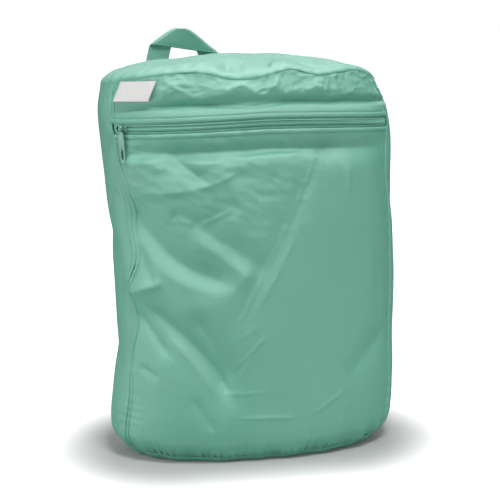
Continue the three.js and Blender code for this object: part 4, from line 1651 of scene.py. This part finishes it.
@dataclass(frozen=True)
class Zip:
    """The zip: two tapes, a pair of nylon coils, a slider with its bridge, and the pull."""

    form: BagForm
    columns: int = 260
    tape_rows: int = 10
    tape_width: float = 24
    tape_thickness: float = 0.8
    tape_hang: float = 1
    end_gap: float = 0.12
    chain_width: float = 5
    chain_thickness: float = 2.2
    running_gap: float = 0.4
    slider_from_seam: float = 12
    slider_length: float = 10
    slider_height: float = 8.4
    slider_plate: float = 1.2
    slider_post: float = 2
    bridge_bar: float = 1.8
    bridge_post: float = 1.6
    pull_length: float = 36
    pull_width: float = 7
    pull_thickness: float = 1.4
    pull_rim: float = 0.3
    pull_neck: float = 4
    slot_length: float = 9
    slot_width: float = 2.4
    eye_wall: float = 0.85
    coil_forward: float = 1.0
    coil_pitch: float = 1.55
    coil_wire: float = 0.40
    coil_steps: int = 12
    wire_sides: int = 6
    plate_edge: float = 0.3
    pull_edge: float = 0.25
    post_reach: float = 1.2
    tube_sides: int = 16
    outline_points: int = 72
    arch_points: int = 33

    @property
    def tape_depth(self) -> float:
        """How far behind the wall's face the tapes begin."""
        return self.form.thickness + self.form.gap

    @property
    def chain_depth(self) -> float:
        """How far behind the wall's face the chain's middle lies."""
        return self.tape_depth + self.tape_thickness / 2

    @property
    def slider_turn(self) -> float:
        """The angle of the slider's middle."""
        turn = self.form.length_to_turn(self.slider_from_seam, self.form.left_seam, self.form.zip_up)
        return self.form.left_seam + float(turn)

    @property
    def plate_back(self) -> float:
        """The back of the slider's front plate, out from the wall's face."""
        return self.chain_thickness / 2 - self.chain_depth + self.running_gap

    @property
    def plate_front(self) -> float:
        """The front of the slider's front plate."""
        return self.plate_back + self.slider_plate

    @property
    def eye_radius(self) -> float:
        """The outer radius of the pull's eye."""
        return self.bridge_bar / 2 + self.running_gap + self.eye_wall

    @property
    def bar_height(self) -> float:
        """The height of the bridge's bar, which the pull turns on."""
        return self.plate_front + self.running_gap + self.eye_radius

    def place(self) -> ZipPlace:
        """Finds the slider's place, from the wall's normal and the zip's direction there.

        Returns:
            The place.
        """
        form = self.form
        around = np.array(self.slider_turn)
        out = form.wall_normal(around, form.zip_level(around))
        ahead = form.smooth_wall(around + 0.5, form.zip_level(around + 0.5))
        behind = form.smooth_wall(around - 0.5, form.zip_level(around - 0.5))
        upwards = unit(np.cross(out, ahead - behind))
        along = np.cross(upwards, out)
        origin = form.wall_point(around, form.zip_level(around), np.array(0.0))
        return ZipPlace(origin, np.stack([along, upwards, out]))

    def tape(self, direction: int) -> Shell:
        """Makes one tape: a thin strip behind the hem, from the coil to its free edge.

        Args:
            direction: 1 for the upper tape and -1 for the lower one.

        Returns:
            The tape.
        """
        form = self.form
        outer_edge = self.tape_width / 2 / form.wall_rise
        u = np.linspace(0, 1, self.columns + 1)[None, :]
        v = np.linspace(0, 1, self.tape_rows + 1)[:, None]
        reach = form.girth(form.right_seam) - form.girth(form.left_seam)
        behind = self.slider_from_seam - self.slider_length / 2 - reach * u
        opened = mix(self.chain_width / 2 + form.gap, self.end_gap, ease(behind / 1.3))
        aside = direction * mix(opened / form.wall_rise, outer_edge, v)
        around = mix(form.left_seam_at(form.zip_up + aside), form.right_seam, u)
        trim = form.length_to_turn(form.gap / 2, around, form.zip_up + aside)
        around = around + np.where(u == 0, trim, 0) - np.where(u == 1, trim, 0)
        up = form.zip_level(around) + aside
        depth = self.tape_depth + v * self.tape_hang - form.folds(around, up, FINE_FOLDS)
        inside = ease((form.zip_window / 2 - 0.4 - np.abs(aside) * form.wall_rise) / 1.8)
        depth = depth - self.coil_forward * inside * ease((-behind - self.slider_length) / 6)
        outer = form.wall_point(around, up, depth)
        inner = form.wall_point(around, up, depth + self.tape_thickness)
        flat = np.stack([form.girth(around), up * form.wall_rise], -1)
        return closed_sheet(outer, inner, flat)

    def coil(self, direction: int) -> Shell:
        """Makes one nylon coil: a wire wound into flat loops that reach past the zip's middle.

        The wire's place goes round an ellipse while it moves along the zip, a pitch a turn. The two
        coils are half a pitch apart, so that their loops lie between each other.

        Args:
            direction: 1 for the upper coil and -1 for the lower one.

        Returns:
            The wire.
        """
        form = self.form
        clear = self.slider_length / 2 - self.slider_post - self.running_gap
        start = form.girth(self.slider_turn - form.length_to_turn(clear, self.slider_turn, form.zip_up))
        end = form.girth(form.right_seam) - 1.0
        turns = int((end - start) / self.coil_pitch) - 1
        phase = np.linspace(0, turns, turns * self.coil_steps + 1)
        travel = start + (phase + (0.5 if direction > 0 else 0.0)) * self.coil_pitch + self.coil_wire
        around = np.interp(travel, form.girth_table, np.arange(361))
        reach = self.chain_width / 2 - self.coil_wire
        middle = (reach - 0.45) / 2
        climb = direction * (middle - (middle + 0.45) * np.cos(2 * np.pi * phase))
        lift = (self.chain_thickness / 2 - self.coil_wire) * np.sin(2 * np.pi * phase)
        up = form.zip_level(around) + climb / form.wall_rise
        forward = self.coil_forward * ease((travel - start - self.slider_length) / 6)
        path = form.wall_point(around, up, self.chain_depth - forward - lift)
        out = form.wall_normal(around, up)
        return swept_tube(path, out, self.coil_wire, self.coil_wire, self.wire_sides)

    def rounded_plate(self, outline: Callable[[float], Array], rows: Sequence[PlateRow]) -> Shell:
        """Stacks outlines, one for each row of a plate's section, and closes them with poles.

        Args:
            outline: Gives the outline for an inset.
            rows: The section.

        Returns:
            The plate.
        """
        rings = []
        for row in rows:
            ring = outline(row.inset)
            rings.append(np.column_stack([ring, np.full(len(ring), row.height)]))
        return ring_loft(np.stack(rings), False)

    def slider_outline(self, inset: float) -> Array:
        """Returns the slider's outline: a rounded oblong, wider at its left end.

        Args:
            inset: How far it is drawn in.

        Returns:
            The points.
        """
        half_length, half_height = self.slider_length / 2, self.slider_height / 2
        ring = superellipse(half_length - inset, half_height - inset, 4.0, self.outline_points)
        taper = 0.93 - 0.09 * ring[:, 0] / half_length
        waist = 1 - 0.05 * bell(ring[:, 0] - 1.0, 2.0)
        return np.column_stack([ring[:, 0], ring[:, 1] * taper * waist])

    def plate_rows(self, low: float, high: float, edge: float, crown: float) -> list[PlateRow]:
        """Returns the section of a plate with rounded edges and a slightly crowned front.

        Args:
            low: The height of its back.
            high: The height of its front.
            edge: The edges' radius.
            crown: How far its middle stands up.

        Returns:
            The rows from the back to the front.
        """
        return [
            PlateRow(edge * 3, low),
            PlateRow(edge, low),
            PlateRow(edge * 0.3, low + edge * 0.3),
            PlateRow(0.0, low + edge),
            PlateRow(0.0, high - edge),
            PlateRow(edge * 0.3, high - edge * 0.3),
            PlateRow(edge, high),
            PlateRow(edge * 3, high + crown),
            PlateRow(edge * 6, high + crown * 1.3),
        ]

    def slider(self) -> Shell:
        """Makes the slider: two rounded plates, the post between them and the arched bridge.

        Returns:
            The slider.
        """
        back = -self.chain_depth - self.chain_thickness / 2 - self.running_gap
        front_rows = self.plate_rows(self.plate_back, self.plate_front - 0.15, self.plate_edge, 0.1)
        back_rows = self.plate_rows(back - self.slider_plate, back, self.plate_edge, 0.0)
        plates = [self.rounded_plate(self.slider_outline, rows) for rows in (front_rows, back_rows)]
        middle = np.array([(self.slider_post - self.slider_length) / 2, 0, 0])
        post_path = np.linspace(back - 0.5, self.plate_back + 0.5, 5)[:, None] * np.array([0, 0, 1]) + middle
        post = swept_tube(post_path, Y_AXIS, self.post_reach, self.slider_post / 2, self.tube_sides)
        span = (self.pull_neck + 2 * self.running_gap + self.bridge_post) / 2
        turn = np.linspace(0, np.pi, self.arch_points)
        arch_x = -span * np.sign(np.cos(turn)) * np.abs(np.cos(turn)) ** 0.5
        rise = self.bar_height - self.plate_front + 0.4
        arch_z = self.plate_front - 0.4 + rise * np.sin(turn) ** 0.5
        arch = np.stack([arch_x, 0 * turn, arch_z], -1)
        bridge = swept_tube(arch, Y_AXIS, self.bridge_bar / 2, self.bridge_post / 2, self.tube_sides)
        return joined([*plates, post, bridge])

    def pull(self) -> Shell:
        """Makes the pull: a slotted plate with a raised rim, its neck and its eye, hanging along -Y.

        The plate is one ring of outlines: out along its back, round its edge, over the rim, in to
        the slot and through it. The eye is a rounded square section carried round the bar.

        Returns:
            The pull.
        """
        half = self.pull_thickness / 2
        bottom = self.eye_radius - self.pull_length
        shoulder = -self.eye_radius - self.running_gap
        middle = np.array([0, (bottom + shoulder) / 2])
        outer = np.array([self.pull_width / 2, (shoulder - bottom) / 2])
        slot_middle = np.array([0, bottom + self.pull_width / 2 + self.slot_length / 2])
        slot = np.array([self.slot_width / 2, self.slot_length / 2])
        high = half + self.pull_rim
        outer_rows = self.plate_rows(-half, high, self.pull_edge, 0.0)[1:7]
        outer_rows += [PlateRow(0.75, high), PlateRow(0.95, high - 0.1), PlateRow(1.1, half)]
        slot_rows = [
            PlateRow(-0.35, half),
            PlateRow(-0.1, half - 0.1),
            PlateRow(0.0, half - 0.35),
            PlateRow(0.0, -half + 0.3),
            PlateRow(-0.3, -half),
        ]
        rings = []
        for rows, centre, size, power in (
            (outer_rows, middle, outer, 5.0),
            (slot_rows, slot_middle, slot, 4.0),
        ):
            for row in rows:
                ring = superellipse(*(size - row.inset), power, self.outline_points) + centre
                rings.append(np.column_stack([ring, np.full(len(ring), row.height)]))
        plate = ring_loft(np.stack(rings), True)
        neck_y = np.linspace(shoulder - 1.2, -self.bridge_bar / 2 - self.running_gap - 0.3, 9)
        neck_path = np.stack([0 * neck_y, neck_y, 0 * neck_y], -1)
        neck = swept_tube(neck_path, X_AXIS, self.pull_neck / 2, half, 20)
        inner_radius = self.bridge_bar / 2 + self.running_gap
        wall = superellipse(self.pull_neck / 2, self.eye_wall / 2, 4.0, 24)
        turn = np.linspace(0, 2 * np.pi, 48, endpoint=False)[:, None]
        radius = inner_radius + self.eye_wall / 2 + wall[None, :, 1] + 0 * turn
        across = np.broadcast_to(wall[None, :, 0], radius.shape)
        eye_rings = np.stack([across, radius * np.cos(turn), radius * np.sin(turn)], -1)
        eye = ring_loft(eye_rings, True)
        return joined([plate, neck, eye])

    def pull_lean(self, place: ZipPlace) -> float:
        """Returns the angle that the pull leans in by, until its tip rests just off the cloth.

        Args:
            place: The slider's place.

        Returns:
            The angle.
        """
        form = self.form
        reach = self.pull_length - self.eye_radius
        around = np.array(self.slider_turn)
        tip_up = form.zip_level(around) - reach / form.wall_rise
        tip = form.wall_point(around, tip_up, np.array(-2 * form.gap - self.pull_thickness / 2))
        local = place.axes @ (tip - place.origin)
        return math.atan2(local[2] - self.bar_height, -local[1])

    def hanging_pull(self, place: ZipPlace) -> Shell:
        """Makes the pull where it hangs on the bridge.

        Args:
            place: The slider's place.

        Returns:
            The pull.
        """
        shell = self.pull()
        lean = -self.pull_lean(place)
        x, y, z = shell.points.T
        turned = np.stack([
            x,
            y * math.cos(lean) - z * math.sin(lean),
            y * math.sin(lean) + z * math.cos(lean) + self.bar_height,
        ], -1)
        return Shell(place.put(turned), shell.faces, shell.flat)

    def build(self, wardrobe: Wardrobe) -> None:
        """Builds and dresses the zip's pieces.

        Args:
            wardrobe: The materials.
        """
        place_piece("upper_tape", self.tape(1), wardrobe.tape, Slot.TAPE, "zip_tape_upper")
        place_piece("lower_tape", self.tape(-1), wardrobe.tape, Slot.TAPE, "zip_tape_lower")
        coils = joined([self.coil(1), self.coil(-1)])
        place_piece("nylon_coils", coils, wardrobe.coil, Slot.COIL, "zip_chain")
        place = self.place()
        slider = self.slider()
        slider = Shell(place.put(slider.points), slider.faces, slider.flat)
        place_piece("slider_body", slider, wardrobe.enamel, Slot.HARDWARE, "zip_slider")
        place_piece(
            "slotted_pull", self.hanging_pull(place), wardrobe.enamel, Slot.HARDWARE, "pull_tab",
            body=Body.PULL,
        )


@dataclass(frozen=True)
class StrapBend:
    """A corner where one flat run of strap folds over a slanting roller into the next.

    Everything is in the plane of X and Z. The roller's axis halves the angle between the runs.
    """

    corner: Array
    arriving: Array
    across: Array
    axis: Array
    aside: Array
    radius: float

    @classmethod
    def between(cls, before: Array, corner: Array, after: Array, hand: int, radius: float) -> "StrapBend":
        """Makes the bend at a corner between two other points.

        Args:
            before: Where the strap comes from.
            corner: Where it bends.
            after: Where it goes.
            hand: 1 or -1, the side that the strap's width is counted to.
            radius: The roller's radius.

        Returns:
            The bend.
        """
        arriving = unit(corner - before)
        leaving = unit(after - corner)
        across = np.array([arriving[1], -arriving[0]]) * hand
        return cls(corner, arriving, across, unit(arriving + leaving), unit(arriving - leaving), radius)

    @property
    def skew(self) -> float:
        """How far a row along the roller moves on for each step across."""
        return float(self.axis @ self.arriving / (self.axis @ self.across))

    @property
    def stretch(self) -> float:
        """Half the length of strap that lies on the roller."""
        return float(np.pi / 2 * self.radius / (self.aside @ self.arriving))

    def fold(self, along: Array, sideways: Array) -> tuple[Array, Array, Array, Array]:
        """Bends places of the flat strap round the roller.

        A place keeps its distance along the roller's axis. Across it, the strap runs flat up to the
        roller, goes round by up to half a turn and runs flat again on the other side.

        Args:
            along: Places along the strap from the corner.
            sideways: Places across it.

        Returns:
            The places in the plane, how far they rolled out of it, and the normal's two parts.
        """
        flat = along[..., None] * self.arriving + sideways[..., None] * self.across
        reach = flat @ self.aside
        quarter = np.pi / 2 * self.radius
        angle = np.clip((reach + quarter) / self.radius, 0, np.pi)
        before = np.minimum(reach, -quarter)
        beyond = np.maximum(reach - quarter, 0)
        turned = before + self.radius * np.sin(angle) - beyond
        place = self.corner + (flat @ self.axis)[..., None] * self.axis + turned[..., None] * self.aside
        return place, self.radius * (1 - np.cos(angle)), np.sin(angle)[..., None] * self.aside, np.cos(angle)


@dataclass(frozen=True)
class StrapLoop:
    """The strap loop behind the top: two legs and a run between them, with a diagonal fold at each end."""

    form: BagForm
    width: float = 23.5
    thickness: float = 2
    span: float = 68
    rise: float = 37.5
    radius: float = 2.2
    lap: float = 10
    foot_x: float = -90
    apex_stretch: float = 1.05
    apex_drop: float = 4.5
    apex_softness: float = 1.8
    seam_depth: float = 0.28
    seam_inset: float = 2.4
    seam_width: float = 0.45
    fullness: float = 0.94
    edge_half: float = 0.06
    columns: int = 32
    leg_rows: int = 14
    bend_rows: int = 18
    run_rows: int = 12
    lap_rows: int = 8

    def foot_turn(self, x: float) -> float:
        """Returns the angle behind the bag where the top seam passes that place across."""
        turns = np.arange(360 - self.form.side_angle, 180, -0.25)
        return float(turns[np.argmax(self.form.seam_point(turns)[:, 0] >= x)])

    def shell(self) -> Shell:
        """Makes the strap: rows of its flat band, bent round two rollers, with both feet on the wall.

        Returns:
            The strap.
        """
        form = self.form
        clear = -(2 * form.gap + self.thickness / 2)
        turns = [self.foot_turn(self.foot_x), self.foot_turn(self.foot_x + self.span)]
        feet = [form.wall_point(np.array(turn), form.top_edge(turn), np.array(clear)) for turn in turns]
        corners = [
            feet[0][[0, 2]] + np.array([self.span * corner.along, self.rise * corner.rise])
            for corner in STRAP_CORNERS
        ]
        ends = [foot[[0, 2]] for foot in feet]
        first = StrapBend.between(ends[0], corners[0], corners[1], 1, self.radius)
        second = StrapBend.between(corners[0], corners[1], ends[1], -1, self.radius)
        length = float(np.linalg.norm(corners[1] - corners[0]))
        first_leg = float(np.linalg.norm(corners[0] - ends[0]))
        last_leg = float(np.linalg.norm(ends[1] - corners[1]))
        aside = (crowded(self.columns, 0.5) - 0.5)[None, :] * self.width
        steps = np.linspace(-1, 1, self.bend_rows + 1)
        legs = np.linspace(0.25, 1, self.leg_rows)
        halves = np.linspace(0, 1, self.run_rows + 1)[1:-1]
        before, after = halves[: self.run_rows // 2], halves[self.run_rows // 2 :]
        starts = (
            np.concatenate([
                mix(-first_leg, -first.stretch, legs[:-1]), steps * first.stretch,
                mix(first.stretch, length - second.stretch, before),
            ]),
            np.concatenate([
                mix(first.stretch - length, -second.stretch, after), steps * second.stretch,
                mix(last_leg, second.stretch, legs[-2::-1]),
            ]),
        )
        slants = (
            np.concatenate([
                first.skew * legs[:-1], 0 * steps + first.skew, mix(first.skew, second.skew, before),
            ]),
            np.concatenate([
                mix(first.skew, second.skew, after), 0 * steps + second.skew, second.skew * legs[-2::-1],
            ]),
        )
        points = []
        normals = []
        for bend, start, slant, passed, hand in zip((first, second), starts, slants, (0, 1), (1, -1)):
            along = start[:, None] + slant[:, None] * aside
            spot, rolled, lean, facing = bend.fold(along, 0 * along + aside)
            level = mix(feet[0][1], feet[1][1], np.clip(passed + along / length, 0, 1))
            back = level - 2 * self.radius * passed - hand * rolled
            points.append(np.stack([spot[..., 0], back, spot[..., 1]], -1))
            normals.append(np.stack([lean[..., 0], hand * facing, lean[..., 1]], -1))
        laps = np.linspace(1, 0, self.lap_rows)[:, None]
        for end, shares in ((0, laps), (1, laps[::-1])):
            step = form.length_to_turn(aside, turns[end], 1.0)
            turn = turns[end] + (step if end else -step) + 0 * shares
            up = form.top_edge(turns[end]) - self.lap * shares / form.wall_rise + 0 * turn
            order = end * len(points)
            points.insert(order, form.wall_point(turn, up, np.full(turn.shape, clear)))
            normals.insert(order, form.wall_normal(turn, up))
        middle = self.rounded_apex(np.concatenate(points), feet[0][2])
        normal = unit(np.concatenate(normals))
        edge = np.abs(aside) / (self.width / 2)
        seam_line = self.seam_depth * bell((1 - edge) * self.width / 2 - self.seam_inset, self.seam_width)
        rounded = self.thickness / 2 * (1 - edge**10) ** 0.5 * self.fullness
        half = rounded + self.edge_half - seam_line
        half = np.broadcast_to(half, middle.shape[:2])[..., None]
        travel = np.concatenate([[0], np.cumsum(np.linalg.norm(np.diff(middle.mean(1), axis=0), axis=-1))])
        flat = np.stack(np.broadcast_arrays(aside, travel[:, None]), -1)
        return closed_sheet(middle + normal * half, middle - normal * half, flat)

    def rounded_apex(self, points: Array, foot: float) -> Array:
        """Presses the loop's tip into a soft arch.

        The loop is first stretched up. Above a level a little under the tip, a soft step of its height
        over that level is then taken off.

        Args:
            points: Points of the strap's middle.
            foot: The height of its foot.

        Returns:
            The points with their new heights.
        """
        rise = (points[..., 2] - foot) * self.apex_stretch
        level = np.max(rise) - self.apex_drop
        over = (rise - level) / self.apex_softness
        lowered = rise - 0.75 * self.apex_softness * np.logaddexp(0, over)
        height = foot + np.where(rise > 0, lowered, points[..., 2] - foot)
        return np.concatenate([points[..., :2], height[..., None]], -1)

    def build(self, wardrobe: Wardrobe) -> None:
        """Builds and dresses the strap."""
        place_piece("strap_band", self.shell(), wardrobe.cloth, Slot.STRAP, "handle_strap")


@dataclass(frozen=True)
class RibbonLabel:
    """The bare satin label: a ribbon folded double at its lower edge, caught in the top seam."""

    form: BagForm
    width: float = 31
    height: float = 19.6
    skew: float = 4.8
    thickness: float = 1
    fold_gap: float = 0.6
    from_seam: float = 10
    swing: float = 2
    columns: int = 40
    rows: int = 72

    def shell(self) -> Shell:
        """Makes the ribbon: down its inner leaf, round half a turn and up its outer leaf.

        Returns:
            The ribbon.
        """
        form = self.form
        bend = (self.thickness + self.fold_gap) / 2
        straight = self.height - bend
        middle = 2 * form.gap + self.thickness + self.fold_gap / 2
        run = 2 * straight + math.pi * bend
        start = form.left_seam + float(form.length_to_turn(self.from_seam, form.left_seam, 1.0))
        third = self.rows // 3
        travel = np.concatenate([
            np.linspace(0, straight, third + 1),
            np.linspace(straight, run - straight, third + 1)[1:],
            np.linspace(run - straight, run, third + 1)[1:],
        ])[:, None]
        angle = np.clip((travel - straight) / bend, 0, np.pi)
        down = np.minimum(np.minimum(travel, run - travel), straight) + bend * np.sin(angle)
        out = -bend * np.cos(angle)
        u = np.linspace(0, 1, self.columns + 1)[None, :]
        faces = []
        for side in (0.5, -0.5):
            lower = down + side * self.thickness * np.sin(angle)
            swing = self.swing * lower / self.height * (1 + 0.25 * np.sin(2 * np.pi * u))
            proud = middle + swing + out - side * self.thickness * np.cos(angle)
            sideways = self.width * u - self.skew * lower / self.height
            around = start + form.length_to_turn(sideways, start, 1.0)
            up = form.top_edge(start) - (form.gap + self.thickness + lower) / form.wall_rise
            faces.append(form.wall_point(around, up + 0 * around, -proud))
        flat = np.stack(np.broadcast_arrays(u * self.width, travel), -1)
        return closed_sheet(faces[0], faces[1], flat)

    def build(self, wardrobe: Wardrobe) -> None:
        """Builds and dresses the label."""
        place_piece("satin_ribbon", self.shell(), wardrobe.satin, Slot.LABEL, "label")


@dataclass(frozen=True)
class Stitching:
    """Rows of machine stitches: short rounded threads, end to end along a line on the cloth."""

    form: BagForm
    cloth: ClothBody
    pitch: float = 3.0
    thread: float = 0.42
    sides: int = 6
    steps: int = 7
    reach: float = 0.44
    bow: float = 0.3
    dive: float = 0.12
    proud: float = 0.22
    inset: float = 0.6

    def stitches(self, middles: Array, along: Array, out: Array) -> Shell:
        """Makes a stitch at each place: a thread that bows out and dives in at both ends.

        Args:
            middles: The places.
            along: The line's direction at each.
            out: The cloth's normal at each.

        Returns:
            All the stitches.
        """
        t = np.linspace(-1, 1, self.steps)
        reach = self.reach * self.pitch * t
        rise = self.bow * (1 - t**2) - self.dive
        radius = self.thread / 2 * np.sqrt(np.maximum(1 - t**6, 0.05))
        turn = np.linspace(0, 2 * np.pi, self.sides, endpoint=False)
        x = np.broadcast_to(reach[:, None], (self.steps, self.sides))
        y = radius[:, None] * np.cos(turn)
        z = rise[:, None] + radius[:, None] * np.sin(turn)
        across = np.cross(out, along)
        rings = (
            middles[:, None, None] + x[..., None] * along[:, None, None]
            + y[..., None] * across[:, None, None] + z[..., None] * out[:, None, None]
        )
        return joined([ring_loft(ring, False) for ring in rings])

    def hem_row(self, edge: Edge, direction: int) -> Shell:
        """Makes the row of stitches along one hem of the zip window.

        Args:
            edge: The hem's edge at these angles.
            direction: 1 if the cloth lies above the edge and -1 if below.

        Returns:
            The stitches.
        """
        form = self.form
        start = float(form.girth(form.left_seam)) + 3
        end = float(form.girth(form.right_seam)) - 3
        travel = np.arange(start, end, self.pitch)
        around = np.interp(travel, form.girth_table, np.arange(361))
        line = self.cloth.hem_width - self.inset
        up = edge(around) + direction * line / form.wall_rise
        out = form.wall_normal(around, up)
        proud = self.proud + self.cloth.hem(np.full(around.shape, line), around)
        if direction > 0:
            proud = proud + self.cloth.overhang(around, up)
        else:
            proud = proud + form.folds(around, up, FINE_FOLDS) + self.cloth.unevenness_at(around, up)
        points = form.wall_point(around, up, -proud)
        along = unit(np.gradient(points, axis=0))
        return self.stitches(points, along, out)

    def build(self, wardrobe: Wardrobe) -> None:
        """Builds and dresses the two rows beside the zip.

        Args:
            wardrobe: The materials.
        """
        rows = joined([
            self.hem_row(self.cloth.window_top, 1),
            self.hem_row(self.cloth.window_bottom, -1),
        ])
        place_piece("hem_stitches", rows, wardrobe.thread, Slot.BODY)


@dataclass(frozen=True)
class Studio:
    """The pale floor, whose glow paints a contact shadow round the bag and bounce light onto it, the soft
    lights and the camera.
    """

    yaw: float = 12
    distance: float = 1300
    height: float = 475
    look_height: float = 215
    focal_pixels: float = 1230
    centre_pixel: float = 248
    picture: float = 500
    sensor: float = 36
    floor_size: float = 30
    floor_colour: tuple = (0.50, 0.50, 0.50)
    # The floor's glow is painted light: none within glow_from of the bag's capsule, which is a painted
    # contact shadow, and full from glow_to on.
    glow_core: float = 0.085
    glow_from: float = 0.070
    glow_to: float = 0.170
    left_sky: float = 0.36
    right_sky: float = 0.44
    high_sky: float = 0.55
    gloss_from: float = 0.42
    gloss_to: float = 0.85
    gloss: float = 4.7
    left_gloss: float = 0.25
    behind_from: float = 0.25
    behind_to: float = 0.85
    gloss_behind: float = 0.45
    # The floor's colour in glossy rays: painted shade in its reflections.
    floor_in_gloss: tuple = (0.08, 0.08, 0.08)
    # For diffuse rays the glow is near_bounce up to bounce_from and far_bounce from bounce_to on: painted
    # bounce light onto the bag's lower parts.
    bounce_from: float = 0.16
    bounce_to: float = 0.55
    near_bounce: float = 3.2
    far_bounce: float = 0.20

    def camera(self) -> None:
        """Makes the camera at the photograph's angle."""
        data = bpy.data.cameras.new("viewpoint")
        data.sensor_width = self.sensor
        data.lens = self.focal_pixels / self.picture * self.sensor
        data.shift_x = (self.picture / 2 - self.centre_pixel) / self.picture
        data.clip_start, data.clip_end = 0.05, 100
        made = bpy.data.objects.new("viewpoint", data)
        bpy.context.scene.collection.objects.link(made)
        yaw = self.yaw * DEGREE
        made.location = (
            -self.distance * math.sin(yaw) * MM, -self.distance * math.cos(yaw) * MM, self.height * MM,
        )
        target = Vector((0, 0, self.look_height * MM))
        made.rotation_euler = (target - made.location).to_track_quat("-Z", "Y").to_euler()
        bpy.context.scene.camera = made

    def floor(self) -> None:
        """Makes the floor: pale paper that glows as painted light, with a painted contact shadow near the
        bag, painted bounce light for diffuse rays and painted shade in reflections.
        """
        half = self.floor_size / 2
        mesh = bpy.data.meshes.new("floor")
        corners = [(-half, -half, 0), (half, -half, 0), (half, half, 0), (-half, half, 0)]
        mesh.from_pydata(corners, [], [(0, 1, 2, 3)])
        paper, nodes, shader = start_material("glowing_paper_painted_shadow")
        parts = nodes.split(nodes.add("ShaderNodeTexCoord").outputs["Object"])
        sideways = nodes.math("SUBTRACT", nodes.math("ABSOLUTE", parts["X"]), self.glow_core)
        sideways = nodes.math("MAXIMUM", sideways, 0.0)
        ahead = nodes.math("MULTIPLY", parts["Y"], parts["Y"])
        away = nodes.math("SQRT", nodes.math("MULTIPLY_ADD", sideways, sideways, ahead))
        # The glow is zero next to the bag and rises away from it: a painted contact shadow.
        glow = nodes.smooth(away, self.glow_from, self.glow_to)
        # Diffuse rays see a stronger glow near the bag: painted bounce light.
        near = nodes.smooth(away, self.bounce_from, self.bounce_to, self.near_bounce, self.far_bounce)
        rays = nodes.add("ShaderNodeLightPath").outputs
        bounced = nodes.math("MULTIPLY", rays["Is Diffuse Ray"], near)
        share = nodes.math("MULTIPLY", glow, nodes.math("MAXIMUM", rays["Is Camera Ray"], bounced))
        # Glossy rays see the paper dark and without glow: painted shade in its reflections.
        paint = nodes.blend(rays["Is Glossy Ray"], opaque(self.floor_colour), opaque(self.floor_in_gloss))
        nodes.fill(shader, {
            "Base Color": paint,
            "Roughness": 0.9,
            "Specular IOR Level": 0.0,
            "Emission Color": nodes.blend(share, opaque((0, 0, 0)), opaque((1, 1, 1))),
            "Emission Strength": 1.0,
        })
        mesh.materials.append(paper)
        made = bpy.data.objects.new("floor", mesh)
        bpy.context.scene.collection.objects.link(made)

    def lamp(
        self, name: str, place: tuple, target: tuple, size: float, power: float, mirrored: bool = True,
    ) -> None:
        """Makes one soft square light.

        Args:
            name: Its name.
            place: Where it hangs, in metres.
            target: What it faces.
            size: The length of its sides.
            power: Its power in watts.
            mirrored: Whether glossy surfaces show it.
        """
        data = bpy.data.lights.new(name, "AREA")
        data.shape = "SQUARE"
        data.size = size
        data.energy = power
        made = bpy.data.objects.new(name, data)
        bpy.context.scene.collection.objects.link(made)
        made.visible_glossy = mirrored
        made.location = place
        facing = Vector(target) - made.location
        made.rotation_euler = facing.to_track_quat("-Z", "Y").to_euler()

    def build(self) -> None:
        """Sets up the floor, the sky, the lights and the camera."""
        self.floor()
        world = bpy.data.worlds.new("studio")
        world.use_nodes = True
        nodes = Nodes(world.node_tree)
        backdrop = world.node_tree.nodes["Background"]
        rays = nodes.add("ShaderNodeLightPath").outputs
        parts = nodes.split(nodes.add("ShaderNodeTexCoord").outputs["Generated"])
        rightward = nodes.math("MULTIPLY_ADD", parts["X"], 0.5, 0.5)
        sideways = nodes.spread(rightward, self.left_sky, self.right_sky)
        ambient = nodes.math("MULTIPLY", sideways, nodes.spread(parts["Z"], 1.0, self.high_sky))
        matt = nodes.math("MULTIPLY", rays["Is Diffuse Ray"], ambient)
        overhead = nodes.smooth(parts["Z"], self.gloss_from, self.gloss_to, 0.0, self.gloss)
        dimmed = nodes.spread(nodes.math("MULTIPLY", rightward, 2.0), self.left_gloss, 1.0)
        behind = nodes.smooth(parts["Y"], self.behind_from, self.behind_to, 0.0, self.gloss_behind)
        shown = nodes.math("MAXIMUM", nodes.math("MULTIPLY", overhead, dimmed), behind)
        glossy = nodes.math("MULTIPLY", rays["Is Glossy Ray"], shown)
        strength = nodes.math("MAXIMUM", nodes.math("MAXIMUM", matt, glossy), rays["Is Camera Ray"])
        nodes.fill(backdrop, {"Color": opaque((1, 1, 1)), "Strength": strength})
        bpy.context.scene.world = world
        self.lamp("overhead", (0.10, -0.85, 1.80), (0, 0, 0.25), 0.55, 20)
        self.lamp("left_fill", (-0.80, -0.24, 0.24), (0, 0, 0.05), 0.46, 3.5)
        self.lamp("low_fill", (0.50, -0.75, 0.17), (0.05, 0, 0.04), 0.30, 2.0)
        self.lamp("rear_fill", (0.35, 1.30, 0.40), (0, 0, 0.20), 0.75, 6.5, mirrored=False)
        self.camera()
        bpy.context.scene.view_settings.view_transform = "Standard"


@dataclass
class WetBag:
    """The whole bag, dressed piece by piece."""

    form: BagForm = field(default_factory=BagForm)
    wardrobe: Wardrobe = field(default_factory=Wardrobe)

    def build(self) -> None:
        """Builds every piece of the bag."""
        cloth = ClothBody(self.form)
        for part in (cloth, Zip(self.form), StrapLoop(self.form), RibbonLabel(self.form)):
            part.build(self.wardrobe)
        Stitching(self.form, cloth).build(self.wardrobe)


def main() -> None:
    """Builds the bag and its studio."""
    logging.basicConfig(level=logging.INFO, format="%(name)s %(message)s")
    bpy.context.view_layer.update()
    WetBag().build()
    Studio().build()


if __name__ == "__main__":
    main()
